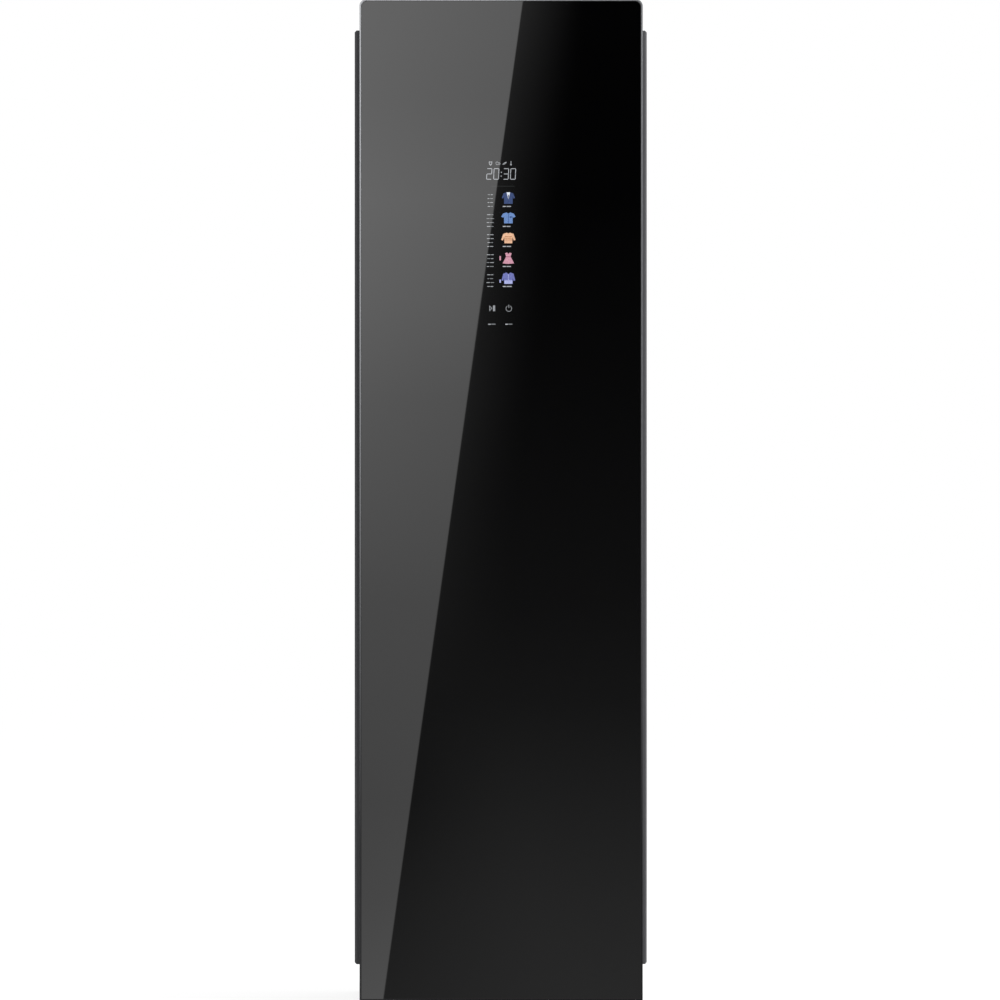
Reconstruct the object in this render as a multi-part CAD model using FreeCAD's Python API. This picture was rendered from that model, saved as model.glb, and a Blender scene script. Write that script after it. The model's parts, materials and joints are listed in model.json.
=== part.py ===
import FreeCAD, Part
import math
import os

from FreeCAD import Placement, Rotation, Vector

# Clothes care steam cabinet. Millimetres, X to the right, Y to the back, Z up.
# The origin is on the floor, in the middle of the whole footprint.

# ---- Overall sizes -------------------------------------------------------------------------
door_width = 535.0
door_height = 1892.0
door_floor_gap = 8.0
total_depth = 600.0
cabinet_below_door_top = 20.0
cabinet_floor_gap = 20.0
wall_spacer_depth = 12.0
side_cavity = 35.5
rear_cavity = 56.0
roof_space = 128.0

# ---- Sheet, walls and fits -----------------------------------------------------------------
sheet = 0.8
pan_sheet = 1.2
flange_width = 20.0
flange_clearance = 4.0
running_gap = 0.05
slide_gap = 0.3
press_in_gap = 0.2
hand_gap = 3.0
overlap = 1.0  # how far the pieces that make up one solid run into each other
past = 1.0  # how far a cutting shape runs past the face that it opens

# ---- Door ----------------------------------------------------------------------------------
glass_thickness = 4.0
glass_top_radius = 13.0
glass_bottom_radius = 0.0
trim_width = 3.0
trim_lip = 5.0
trim_lip_depth = 3.0
chassis_depth = 30.0
chassis_inset = 3.5
chassis_wall = 2.5
chassis_rib = 2.0
chassis_step = 14.0
chassis_bays = 6
chassis_end_gap = 2.0
foam_gap = 0.3
door_liner_depth = 7.0
door_liner_wall = 2.5
door_liner_inset = 2.0
door_liner_radius = 4.0
gasket_depth = 12.0
gasket_width = 12.0
gasket_bulb = 6.0
gasket_base = 4.0
gasket_corner_radius = 6.0
gasket_compression_gap = 0.3
seal_land = 4.0
grip_length = 400.0
grip_middle_height = 1000.0
grip_depth = 18.0
grip_wall = 2.0
grip_corner_radius = 8.0
display_width = 76.0
display_height = 340.0
display_middle_drop = 460.0
display_depth = 11.0
display_lug_width = 24.0
display_lug_end = 30.0

# ---- Hinges --------------------------------------------------------------------------------
hinge_inset = 15.5
hinge_setback = 22.0
hinge_pin_radius = 4.0
hinge_pin_length = 18.0
hinge_plate = 4.0
hinge_arm_left = 16.0
hinge_arm_right = 6.5
hinge_nose_left = 10.0
hinge_fixing_width = 60.0
hinge_fixing_depth = 56.0
hinge_foot_width = 40.0
hinge_boss_wall = 5.0
hinge_boss_end = 6.0
hinge_cover_height = 12.0
hinge_cover_wall = 2.0
hinge_cover_edge = 2.5
bush_wall = 3.0
bush_flange = 1.0

# ---- Front frame, side cladding ------------------------------------------------------------
frame_thickness = 3.0
cladding_stand_out = 9.4
cladding_bottom = 74.0
cladding_top_drop = 36.0
cladding_front_setback = 22.0
cladding_rear_setback = 28.0
cladding_wall = 1.6
cladding_edge = 3.5
cladding_bays = 6

# ---- Rear panel and rear cover -------------------------------------------------------------
bead_count = 3
bead_length = 380.0
bead_width = 60.0
bead_depth = 2.5
spacer_drop = 180.0
spacer_inset = 82.0
spacer_width = 50.0
spacer_height = 70.0
spacer_wall = 3.0
louvre_rows = 6
louvre_pitch = 32.0
louvre_gap = 9.0
louvre_length = 130.0
louvre_middle = 45.0
louvre_angle = 50.0

# ---- Treatment chamber ---------------------------------------------------------------------
chamber_floor = 420.0
chamber_corner_radius = 14.0
liner_wall = 2.5
liner_ribs = 7
liner_rib_width = 12.0
liner_rib_depth = 2.0
liner_rib_end_gap = 50.0
felt_thickness = 6.0
felt_side_margin = 10.0
felt_end_margin = 20.0
shelf_height = 560.0
shelf_ledge = 10.0
shelf_ledge_thickness = 6.0
shelf_ledge_setback = 40.0
shelf_thickness = 9.0
shelf_rim = 12.0
shelf_setback = 44.0
shelf_slats = 11
shelf_slat_width = 10.0
lamp_length = 220.0
lamp_width = 24.0
lamp_depth = 6.0
lamp_setback = 18.0
aroma_length = 116.0
aroma_width = 54.0
aroma_gap = 37.0
aroma_depth = 30.0
aroma_wall = 2.0
aroma_rim = 5.0
aroma_lid = 3.0
aroma_tab_length = 40.0
aroma_tab_width = 5.0
aroma_tab_height = 12.0
aroma_slots = 4
aroma_slot_width = 5.0
aroma_slot_row = 14.0

# ---- Hanger shaker -------------------------------------------------------------------------
shake_stroke = 15.0
shaker_plate = 2.0
shaker_plate_width = 280.0
shaker_plate_depth = 190.0
guide_rod_radius = 5.0
guide_rod_spread = 40.0
guide_block_length = 14.0
guide_block_spacing = 240.0
carriage_length = 180.0
carriage_width = 104.0
carriage_height = 18.0
carriage_lift = 8.0
carriage_bevel = 8.0
yoke_depth = 9.0
yoke_end_gap = 1.0
crank_pin_radius = 4.0
crank_disc_thickness = 6.0
crank_shaft_radius = 4.0
crank_shaft_reach = 16.0
crank_web_gap = 8.0
open_pivot_gap = 0.6
bridge_thickness = 3.0
bridge_width = 60.0
shaker_motor_width = 56.0
shaker_motor_height = 42.0
hanger_arm_width = 16.0
hanger_arm_depth = 8.0
hanger_arm_spacing = 150.0
hanger_bar_end_gap = 32.0
hanger_bar_width = 26.0
hanger_bar_height = 14.0
hanger_bar_drop = 50.0
hanger_bar_bevel = 3.0
hook_notches = 5
hook_notch_width = 10.0
hook_notch_sink = 5.0
hook_end = 28.0
control_box_side_gap = 22.0
control_box_length = 150.0
control_box_gap = 12.0
control_box_height = 40.0
control_box_fins = 6
control_box_fin = 2.0
control_box_fin_height = 10.0

# ---- Tank bay and tanks --------------------------------------------------------------------
bay_floor = 62.0
bay_side_gap = 71.5
bay_wall = 2.0
bay_divider = 4.0
bay_leg = 20.0
tank_height = 246.0
tank_depth = 105.0
tank_wall = 2.0
tank_setback = 9.0
tank_lid = 8.0
tank_corner_radius = 12.0
tank_grip_width = 90.0
tank_grip_height = 44.0
tank_grip_depth = 24.0
tank_grip_drop = 50.0
filler_radius = 16.0
filler_bevel = 9.6

# ---- Air path under the chamber floor -------------------------------------------------------
duct_side_gap = 50.0
duct_front_gap = 5.0
duct_wall = 2.0
duct_height = 228.0
duct_gap = 10.0
filter_side_gap = 32.0
filter_share = 0.3
filter_height = 70.0
filter_rim = 8.0
filter_rim_thickness = 3.0
filter_wall = 1.6
filter_windows = 6
filter_window_share = 0.75
filter_window_sill = 8.0
filter_window_head = 12.0
filter_pull_length = 70.0
filter_pull_width = 12.0
filter_pull_height = 8.0
exchanger_share = 0.185
exchanger_headroom = 38.0
exchanger_frame = 2.0
fin_pitch = 21.0
fin_thickness = 1.2
header_radius = 7.0
header_headroom = 20.0
wheel_radius = 64.0
wheel_width = 46.0
wheel_disc = 2.0
wheel_blades = 14
blade_thickness = 1.8
blade_depth = 14.0
blade_lean = 14.0
blade_bow = 1.6
volute_clearance = 8.0
volute_growth = 30.0
volute_flat_count = 24
scroll_wall = 2.0
fan_shaft_radius = 4.0
fan_shaft_reach = 18.0
fan_boss_radius = 12.0
fan_motor_radius = 32.0
fan_motor_length = 40.0
fan_motor_flat_count = 20
grille_rim = 6.0
grille_thickness = 3.0
grille_slats = 6
grille_slat_width = 3.0

# ---- Machine space -------------------------------------------------------------------------
pan_height = 30.0
pan_slots = 5
pan_slot_pitch = 30.0
pan_slot_length = 60.0
compressor_radius = 54.0
compressor_height = 118.0
compressor_flat_count = 20
compressor_seam = 3.0
compressor_shoulder = 12.0
compressor_foot = 120.0
compressor_foot_plate = 3.0
grommet_height = 10.0
grommet_width = 18.0
pipe_radius = 4.0
pipe_flat_count = 12
steam_hose_radius = 6.0
steam_hose_gap = 8.0
water_hose_radius = 4.0
water_hose_flat_count = 8
water_hose_bend = 8.0
feed_hose_x = 60.0
pump_radius = 18.0
pump_flat_count = 16
pump_length = 46.0
pump_head_depth = 16.0
pump_head_rim = 2.0
pump_head_bevel = 6.0
pump_foot = 6.0
pump_foot_setback = 4.0
pump_side = 41.0
boiler_length = 130.0
boiler_depth = 84.0
boiler_height = 55.0
boiler_bevel = 8.0
boiler_feet = 26.0
boiler_foot_margin = 10.0
nozzle_width = 28.0
nozzle_height = 10.0
nozzle_edge = 3.0
nozzle_slots = 3
nozzle_slot_width = 3.0
gland_inset = 77.5
gland_z = 95.0
gland_width = 22.0
gland_flange = 4.0
gland_bore_radius = 4.0
gland_barrel = 14.0

# ---- Feet ----------------------------------------------------------------------------------
foot_radius = 18.0
foot_flat_count = 12
foot_pad_height = 7.0
foot_nut_height = 6.0
foot_nut_radius = 11.0
foot_nut_flat_count = 6
foot_thread_radius = 5.0
foot_thread_length = 24.0
foot_boss_wall = 3.0
foot_side_inset = 38.0
foot_end_inset = 40.0

# ---- Trouser press --------------------------------------------------------------------------
press_width = 300.0
press_height = 590.0
press_bottom = 660.0
press_board_thickness = 11.0
press_plate_thickness = 10.0
press_plate_wall = 2.0
press_plate_rim = 6.0
press_gap = 1.5
press_pin_radius = 2.5
press_knuckle_radius = 5.0
press_knuckle_length = 30.0
press_knuckle_end = 60.0
press_lug = 8.0
press_bevel = 3.0
press_ribs = 5


# ---- Ranges ------------------------------------------------------------------------------
def about(middle, size):
    """Range of the given size, centred on middle."""
    return (middle - size / 2, middle + size / 2)


def grow(span, by):
    """Range moved outward by the same amount at both ends."""
    return (span[0] - by, span[1] + by)


# ---- Planes that follow from the sizes above --------------------------------------------------
half_width = door_width / 2
inner_half = half_width - sheet
front_y = -total_depth / 2
rear_y = total_depth / 2
body_rear_y = rear_y - wall_spacer_depth
rear_sheet_y = (body_rear_y - 2 * sheet, body_rear_y - sheet)
rear_sheet_middle_y = (rear_sheet_y[0] + rear_sheet_y[1]) / 2
door_low = door_floor_gap
door_high = door_floor_gap + door_height
cabinet_top = door_high - cabinet_below_door_top
pan_floor = cabinet_floor_gap + pan_sheet

glass_back_y = front_y + glass_thickness
lip_back_y = glass_back_y + trim_lip_depth
chassis_back_y = glass_back_y + chassis_depth
door_liner_back_y = chassis_back_y + door_liner_depth
face_y = door_liner_back_y + gasket_depth
frame_back_y = face_y + frame_thickness
hinge_x = half_width - hinge_inset
hinge_y = front_y + hinge_setback
chassis_half = half_width - chassis_inset
chassis_low = cabinet_floor_gap + 2 * hinge_plate + chassis_end_gap
chassis_high = cabinet_top - chassis_end_gap
trim_inner_half = half_width - trim_width
display_z = about(door_high - display_middle_drop, display_height)
door_corner_radii = (glass_bottom_radius, glass_bottom_radius, glass_top_radius, glass_top_radius)

chamber_half_width = half_width - side_cavity
chamber_ceiling = cabinet_top - roof_space
chamber_rear_y = body_rear_y - rear_cavity
liner_outside = chamber_half_width + liner_wall
liner_under = chamber_floor - liner_wall
liner_over = chamber_ceiling + liner_wall
liner_rear_y = chamber_rear_y + liner_wall

bay_half = half_width - bay_side_gap
tank_width = bay_half - bay_divider / 2 - 2 * hand_gap
tank_x = (bay_divider / 2 + hand_gap, bay_divider / 2 + hand_gap + tank_width)
tank_middle_x = (tank_x[0] + tank_x[1]) / 2
tank_front_y = face_y + tank_setback
bay_top = bay_floor + tank_height + tank_lid + 2 * hand_gap
bay_rear_y = tank_front_y + tank_depth + hand_gap
socket_rear_y = bay_rear_y + bay_leg

duct_half_width = chamber_half_width - duct_side_gap
duct_front_y = socket_rear_y + duct_front_gap
duct_rear_y = chamber_rear_y
duct_floor = liner_under - duct_height
scroll_length = wheel_width + 2 * volute_clearance + 2 * scroll_wall
scroll_y = (duct_rear_y - duct_wall - scroll_length, duct_rear_y - duct_wall)
air_run = scroll_y[0] - duct_front_y
filter_half_width = duct_half_width - filter_side_gap
filter_y = (duct_front_y + duct_gap, duct_front_y + duct_gap + air_run * filter_share)
exchanger_depth = air_run * exchanger_share
exchanger_height = duct_height - exchanger_headroom
exchanger_x = grow((-duct_half_width, duct_half_width), -duct_wall - 2 * header_radius)
evaporator_y = filter_y[1] + duct_gap
condenser_y = evaporator_y + exchanger_depth + duct_gap
header_x = exchanger_x[0] - header_radius
volute_inner = wheel_radius + volute_clearance
outlet_x = (volute_inner / 2, volute_inner + volute_growth)
wheel_z = duct_floor + duct_wall + scroll_wall + volute_inner + volute_growth
aroma_x = (-aroma_length / 2, aroma_length / 2)
aroma_y = (duct_front_y - aroma_gap - aroma_width, duct_front_y - aroma_gap)
aroma_middle_y = (aroma_y[0] + aroma_y[1]) / 2

shaker_base_z = liner_over
shaker_floor_z = shaker_base_z + shaker_plate
carriage_low = shaker_floor_z + carriage_lift
carriage_top = carriage_low + carriage_height
guide_z = (carriage_low + carriage_top) / 2
crank_disc_z = carriage_top + crank_web_gap
bridge_z = crank_disc_z + crank_disc_thickness + hand_gap
bridge_top = bridge_z + bridge_thickness
bar_top = chamber_ceiling - hanger_bar_drop
hanger_bar_length = 2 * (chamber_half_width - hanger_bar_end_gap)
hook_pitch = (hanger_bar_length - 2 * hook_end) / (hook_notches - 1)

steam_x = duct_half_width + 2 * steam_hose_radius + steam_hose_gap
steam_y = chamber_rear_y - nozzle_width
boiler_x = (half_width - boiler_feet - boiler_length, half_width - boiler_feet)
boiler_y = about(steam_y, boiler_depth)
boiler_z = (pan_floor + boiler_feet, pan_floor + boiler_feet + boiler_height)
compressor_x = header_x + compressor_radius / 2
compressor_y = (evaporator_y + condenser_y + exchanger_depth) / 2
compressor_low = pan_floor + grommet_height
compressor_top = compressor_low + compressor_foot_plate + compressor_height
pump_x = tank_middle_x + pump_side
pump_y = duct_front_y + 2 * duct_gap
pump_z = pan_floor + pump_foot + pump_radius
pump_head_half = pump_radius + pump_head_rim
pump_head_y = (pump_y - pump_head_depth, pump_y + overlap)
pump_head_middle_y = pump_y - pump_head_depth / 2
gland_x = -half_width + gland_inset
gland_back_y = body_rear_y - sheet

press_pin_x = press_width / 2 + press_lug
press_plate_y = door_liner_back_y + press_board_thickness + press_gap
press_pin_y = press_plate_y + press_plate_thickness / 2
press_knuckle_levels = (press_bottom + press_knuckle_end,
                        press_bottom + press_height - press_knuckle_end - press_knuckle_length)
stem_top = pan_floor + foot_thread_length
foot_places = [(side * (half_width - foot_side_inset), y)
               for side in (-1, 1) for y in (face_y + foot_end_inset, body_rear_y - foot_end_inset)]


# ---- Shape helpers ---------------------------------------------------------------------------
along_x = (1, 0, 0)
along_y = (0, 1, 0)
along_z = (0, 0, 1)
near = 0.01


def block(x, y, z):
    """Box from its three (low, high) ranges."""
    return Part.makeBox(x[1] - x[0], y[1] - y[0], z[1] - z[0], Vector(x[0], y[0], z[0]))


def rod(start, axis, radius, length):
    return Part.makeCylinder(radius, length, Vector(*start), Vector(*axis))


def outline(u, v, radii):
    """Closed wire in the XY plane with rounded corners, from the low-low corner anticlockwise."""
    corners = [Vector(u[0], v[0], 0), Vector(u[1], v[0], 0), Vector(u[1], v[1], 0), Vector(u[0], v[1], 0)]
    ways = [(corners[(i + 1) % 4] - corners[i]).normalize() for i in range(4)]
    edges = []
    for i, corner in enumerate(corners):
        start = corner - ways[i - 1] * radii[i]
        end = corner + ways[i] * radii[i]
        if radii[i] > 0:
            middle = corner + (ways[i] - ways[i - 1]) * radii[i] * (1 - math.sqrt(0.5))
            edges.append(Part.Arc(start, middle, end).toShape())
        following = (i + 1) % 4
        edges.append(Part.LineSegment(end, corners[following] - ways[i] * radii[following]).toShape())
    return Part.Wire(edges)


def plate(axis, u, v, w, radii=0.0):
    """Plate with rounded corners, its thickness range w along the axis.

    u and v are ranges in its plane: X and Y for axis Z, X and Z for axis Y, Y and Z for axis X.
    """
    if not isinstance(radii, tuple):
        radii = (radii, radii, radii, radii)
    solid = Part.Face(outline(u, v, radii)).extrude(Vector(0, 0, w[1] - w[0]))
    if axis == "Z":
        solid.Placement = Placement(Vector(0, 0, w[0]), Rotation())
    elif axis == "Y":
        solid.Placement = Placement(Vector(0, w[1], 0), Rotation(Vector(1, 0, 0), 90))
    else:
        solid.Placement = Placement(Vector(w[0], 0, 0), Rotation(Vector(1, 1, 1), 120))
    return solid


def ring(axis, u, v, w, width, radii=0.0, inner_radii=None):
    """Rectangular ring: a plate with a window that leaves the given width all round."""
    if inner_radii is None:
        inner_radii = max(0.0, (radii if not isinstance(radii, tuple) else min(radii)) - width)
    window = plate(axis, grow(u, -width), grow(v, -width), grow(w, past), inner_radii)
    return plate(axis, u, v, w, radii).cut(window)


def prism(start, axis, radius, length, flats):
    """Round bar made of flats, with its corners on the radius."""
    turn = 2 * math.pi / flats
    corners = [Vector(math.cos(turn * i), math.sin(turn * i), 0) * radius for i in range(flats + 1)]
    solid = Part.Face(Part.makePolygon(corners)).extrude(Vector(0, 0, length))
    solid.Placement = Placement(Vector(*start), Rotation(Vector(0, 0, 1), Vector(*axis)))
    return solid


def tube(points, radius, flats, bend):
    """Hose of square runs through the points, its corners cut across at the bend distance."""
    corners = [Vector(*point) for point in points]
    path = [corners[0]]
    for i in range(1, len(corners) - 1):
        path.append(corners[i] + (corners[i - 1] - corners[i]).normalize() * bend)
        path.append(corners[i] + (corners[i + 1] - corners[i]).normalize() * bend)
    path.append(corners[-1])
    way = (path[1] - path[0]).normalize()
    across = Vector(way.y, way.z, way.x)
    over = way.cross(across)
    section = []
    for i in range(flats + 1):
        turn = 2 * math.pi * i / flats
        section.append(path[0] + (across * math.cos(turn) + over * math.sin(turn)) * radius)
    mitred = 1
    return Part.makePolygon(path).makePipeShell([Part.makePolygon(section)], True, False, mitred)


def joined(pieces):
    """One solid from touching or overlapping pieces, with no seams left in its flat faces."""
    return pieces[0].fuse(pieces[1:]).removeSplitter()


def group(solids):
    return Part.makeCompound(solids)


def mirrored(shape):
    return shape.mirror(Vector(0, 0, 0), Vector(1, 0, 0))


def bevelled(shape, size, wanted):
    """Chamfer of the edges that wanted() accepts."""
    return shape.makeChamfer(size, [edge for edge in shape.Edges if wanted(edge)]).Solids[0]


def beyond(axis, level):
    """Test for edges that lie wholly at or past a level along an axis."""
    way = Vector(*axis)
    return lambda edge: min(vertex.Point.dot(way) for vertex in edge.Vertexes) > level - near


def parallel_to(axis):
    """Test for straight edges that run along an axis."""
    way = Vector(*axis)
    return lambda edge: abs(edge.tangentAt(edge.FirstParameter).dot(way)) > 1 - near


# ---- Cabinet shell ---------------------------------------------------------------------------
def base_pan():
    """Folded floor pan with a threaded block for each foot and a row of vents."""
    x = (-inner_half, inner_half)
    y = (frame_back_y + sheet, rear_sheet_y[0])
    z = (cabinet_floor_gap, cabinet_floor_gap + pan_height)
    pan = block(x, y, z).cut(block(grow(x, -pan_sheet), grow(y, -pan_sheet), (pan_floor, z[1] + past)))
    pieces = [pan]
    holes = []
    boss = 2 * (foot_thread_radius + foot_boss_wall)
    for foot_x, foot_y in foot_places:
        pieces.append(block(about(foot_x, boss), about(foot_y, boss), (pan_floor - pan_sheet / 2, stem_top)))
        holes.append(rod((foot_x, foot_y, z[0] - past), along_z, foot_thread_radius + running_gap,
                         stem_top - z[0] + 2 * past))
    for i in range(pan_slots):
        slot_x = about(pan_slot_pitch * (i - (pan_slots - 1) / 2), pan_slot_pitch / 2)
        holes.append(block(slot_x, about(0, pan_slot_length), (z[0] - past, pan_floor + past)))
    return joined(pieces).cut(holes)


def side_wall():
    """Right-hand wall: one folded sheet with a front and a rear flange."""
    z = (cabinet_floor_gap, cabinet_top - sheet)
    web = block((inner_half, half_width), (frame_back_y, body_rear_y), z)
    flange_x = (half_width - flange_width, half_width)
    front = block(flange_x, (frame_back_y, frame_back_y + sheet), z)
    rear = block(flange_x, (body_rear_y - sheet, body_rear_y), z)
    return joined([web, front, rear])


def top_panel():
    """Flat top sheet with a flange down each side, inside the side walls."""
    y = (frame_back_y, body_rear_y)
    pieces = [block((-half_width, half_width), y, (cabinet_top - sheet, cabinet_top))]
    for side in (-1, 1):
        x = sorted((side * inner_half, side * (inner_half - sheet)))
        pieces.append(block(x, grow(y, -flange_clearance), (cabinet_top - flange_width, cabinet_top - sheet)))
    return joined(pieces)


def rear_sheet(z):
    """Flat rear sheet between two heights, held behind the side walls' rear flanges."""
    return block(grow((-half_width, half_width), -flange_clearance), rear_sheet_y, z)


def pressed_out(x, back_y, z, wall):
    """A field pressed or moulded backward out of the rear sheet: its body and its hollow."""
    body = block(x, (rear_sheet_middle_y, back_y), z)
    hollow = block(grow(x, -wall), (rear_sheet_y[0] - past, back_y - wall), grow(z, -wall))
    return body, hollow


def rear_panel():
    """Upper rear sheet with pressed stiffening beads and, above them, the two wall spacers."""
    pieces = [rear_sheet((chamber_floor, cabinet_top - sheet))]
    hollows = []
    bead_pitch = (cabinet_top - chamber_floor) / (bead_count + 2)
    for i in range(bead_count):
        z = about(chamber_floor + bead_pitch * (i + 1), bead_width)
        body, hollow = pressed_out(about(0, bead_length), rear_sheet_y[1] + bead_depth, z, sheet)
        pieces.append(body)
        hollows.append(hollow)
    for side in (-1, 1):
        x = about(side * (half_width - spacer_inset), spacer_width)
        z = about(cabinet_top - spacer_drop, spacer_height)
        body, hollow = pressed_out(x, rear_y, z, spacer_wall)
        pieces.append(body)
        hollows.append(hollow)
    return joined(pieces).cut(hollows)


def rear_cover():
    """Lower rear cover with two columns of louvres and a hole for the cable gland."""
    cover = rear_sheet((cabinet_floor_gap + chassis_end_gap, chamber_floor))
    slots = [block(about(gland_x, gland_width), grow(rear_sheet_y, past), about(gland_z, gland_width))]
    hoods = []
    for side in (-1, 1):
        x = about(side * (louvre_length / 2 + louvre_middle), louvre_length)
        for row in range(louvre_rows):
            z = duct_floor + row * louvre_pitch
            slots.append(block(x, grow(rear_sheet_y, past), (z, z + louvre_gap)))
            hood = block(x, (0, louvre_gap), (0, sheet))
            hood.rotate(Vector(0, 0, 0), Vector(*along_x), -louvre_angle)
            hood.translate(Vector(0, rear_sheet_y[0], z + louvre_gap))
            hoods.append(hood)
    return joined([cover.cut(slots)] + hoods)


def front_frame():
    """Moulded surround that the door seals against, with the chamber and tank windows."""
    face = block((-half_width, half_width), (face_y, frame_back_y), (cabinet_floor_gap, cabinet_top))
    through = grow((face_y, frame_back_y), past)
    chamber = plate("Y", (-chamber_half_width, chamber_half_width), (chamber_floor, chamber_ceiling),
                    through, chamber_corner_radius)
    bay = block((-bay_half, bay_half), through, (bay_floor, bay_top))
    return face.cut([chamber, bay])


def side_cladding():
    """Right-hand cladding: a shallow moulded cover standing off the side wall, ribbed inside."""
    x = (half_width, half_width + cladding_stand_out)
    y = (face_y + cladding_front_setback, body_rear_y - cladding_rear_setback)
    z = (cladding_bottom, cabinet_top - cladding_top_drop)
    cover = bevelled(block(x, y, z), cladding_edge, beyond(along_x, x[1]))
    pocket = block((x[0] - past, x[1] - cladding_wall), grow(y, -cladding_wall), grow(z, -cladding_wall))
    pocket = bevelled(pocket, cladding_edge - cladding_wall / 2, beyond(along_x, x[1] - cladding_wall))
    pieces = [cover.cut(pocket)]
    rib_y = grow(y, -cladding_edge)
    for i in range(1, cladding_bays):
        rib_z = z[0] + (z[1] - z[0]) * i / cladding_bays
        pieces.append(block((x[0] + overlap, x[1] - cladding_wall / 2), rib_y, about(rib_z, cladding_wall)))
    return joined(pieces)


# ---- Treatment chamber ---------------------------------------------------------------------
def arm_slot(side, z):
    """Slot for one hanger arm, long enough for its whole stroke."""
    x = about(side * hanger_arm_spacing / 2, hanger_arm_width + 2 * shake_stroke + 2 * hand_gap)
    return block(x, about(0, hanger_arm_depth + 2 * hand_gap), grow(z, past))


def chamber_liner():
    """One-piece moulded chamber with shelf ledges, a cartridge cup and its floor openings."""
    inside = (-chamber_half_width, chamber_half_width)
    tall = (chamber_floor, chamber_ceiling)
    shell = plate("Y", grow(inside, liner_wall), grow(tall, liner_wall), (frame_back_y, liner_rear_y),
                  chamber_corner_radius + liner_wall)
    space = plate("Y", inside, tall, (frame_back_y - past, chamber_rear_y), chamber_corner_radius)
    pieces = [shell.cut(space)]
    for side in (-1, 1):
        x = sorted((side * (chamber_half_width - shelf_ledge), side * (chamber_half_width + overlap)))
        pieces.append(block(x, (frame_back_y + shelf_ledge_setback, chamber_rear_y + overlap),
                            (shelf_height - shelf_ledge_thickness, shelf_height)))
    rib_z = grow((shelf_height, chamber_ceiling), -liner_rib_end_gap)
    rib_pitch = 2 * chamber_half_width / (liner_ribs + 1)
    for i in range(liner_ribs):
        rib_x = about(rib_pitch * (i - (liner_ribs - 1) / 2), liner_rib_width)
        pieces.append(block(rib_x, (chamber_rear_y - liner_rib_depth, chamber_rear_y + overlap), rib_z))
    well_x = grow(aroma_x, slide_gap)
    well_y = grow(aroma_y, slide_gap)
    well_low = chamber_floor - aroma_depth
    pieces.append(block(grow(well_x, liner_wall), grow(well_y, liner_wall),
                        (well_low - liner_wall, chamber_floor - liner_wall / 2)))
    through_floor = grow((liner_under, chamber_floor), past)
    hose_hole = 2 * (steam_hose_radius + slide_gap)
    holes = [arm_slot(side, (chamber_ceiling, liner_over)) for side in (-1, 1)]
    holes.append(block(well_x, well_y, (well_low, chamber_floor + past)))
    filter_x = about(0, 2 * (filter_half_width + slide_gap))
    holes.append(block(filter_x, grow(filter_y, slide_gap), through_floor))
    holes.append(block(outlet_x, grow(scroll_y, -scroll_wall), through_floor))
    holes.append(block(about(steam_x, hose_hole), about(steam_y, hose_hole), through_floor))
    return joined(pieces).cut(holes)


def insulation():
    """Felt pads on the outside of the liner's two sides and back."""
    y = (frame_back_y + felt_side_margin, chamber_rear_y - felt_side_margin)
    z = grow((chamber_floor, chamber_ceiling), -felt_end_margin)
    rear_x = grow((-liner_outside, liner_outside), -felt_end_margin)
    pads = [block(rear_x, (liner_rear_y, liner_rear_y + felt_thickness), z)]
    for side in (-1, 1):
        pads.append(block(sorted((side * liner_outside, side * (liner_outside + felt_thickness))), y, z))
    return group(pads)


def shelf():
    """Slatted shelf: a moulded rim with slats along it, resting on the liner's two ledges."""
    x = grow((-chamber_half_width, chamber_half_width), -hand_gap)
    y = (frame_back_y + shelf_setback, chamber_rear_y - hand_gap)
    z = (shelf_height, shelf_height + shelf_thickness)
    pieces = [ring("Z", x, y, z, shelf_rim)]
    for i in range(shelf_slats):
        slat_x = x[0] + (x[1] - x[0]) * (i + 1) / (shelf_slats + 1)
        pieces.append(block(about(slat_x, shelf_slat_width), grow(y, -shelf_rim / 2), grow(z, -overlap)))
    return joined(pieces)


def chamber_lamp():
    """Lamp lens on the chamber ceiling, behind the front edge."""
    y = (frame_back_y + lamp_setback, frame_back_y + lamp_setback + lamp_width)
    z = (chamber_ceiling - lamp_depth, chamber_ceiling)
    return bevelled(block(about(0, lamp_length), y, z), lamp_depth / 3, beyond((0, 0, -1), -z[0]))


def aroma_cartridge():
    """Lift-out scent cartridge with a slotted lid and a finger tab."""
    z = chamber_floor
    tray = block(aroma_x, aroma_y, (z - aroma_depth + slide_gap, z))
    hollow = block(grow(aroma_x, -aroma_wall), grow(aroma_y, -aroma_wall),
                   (z - aroma_depth + slide_gap + aroma_wall, z - aroma_wall))
    lid = block(grow(aroma_x, aroma_rim), grow(aroma_y, aroma_rim), (z, z + aroma_lid))
    tab = block(about(0, aroma_tab_length), about(aroma_middle_y, aroma_tab_width),
                (z + overlap, z + aroma_tab_height))
    slots = []
    pitch = (aroma_x[1] - aroma_x[0]) / aroma_slots
    for i in range(aroma_slots):
        x = about((i - (aroma_slots - 1) / 2) * pitch, pitch / 2)
        for side in (-1, 1):
            slots.append(block(x, about(aroma_middle_y + side * aroma_slot_row, aroma_slot_width),
                               (z - aroma_wall - past, z + aroma_lid + past)))
    return joined([tray.cut(hollow), lid, tab]).cut(slots)


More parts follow.
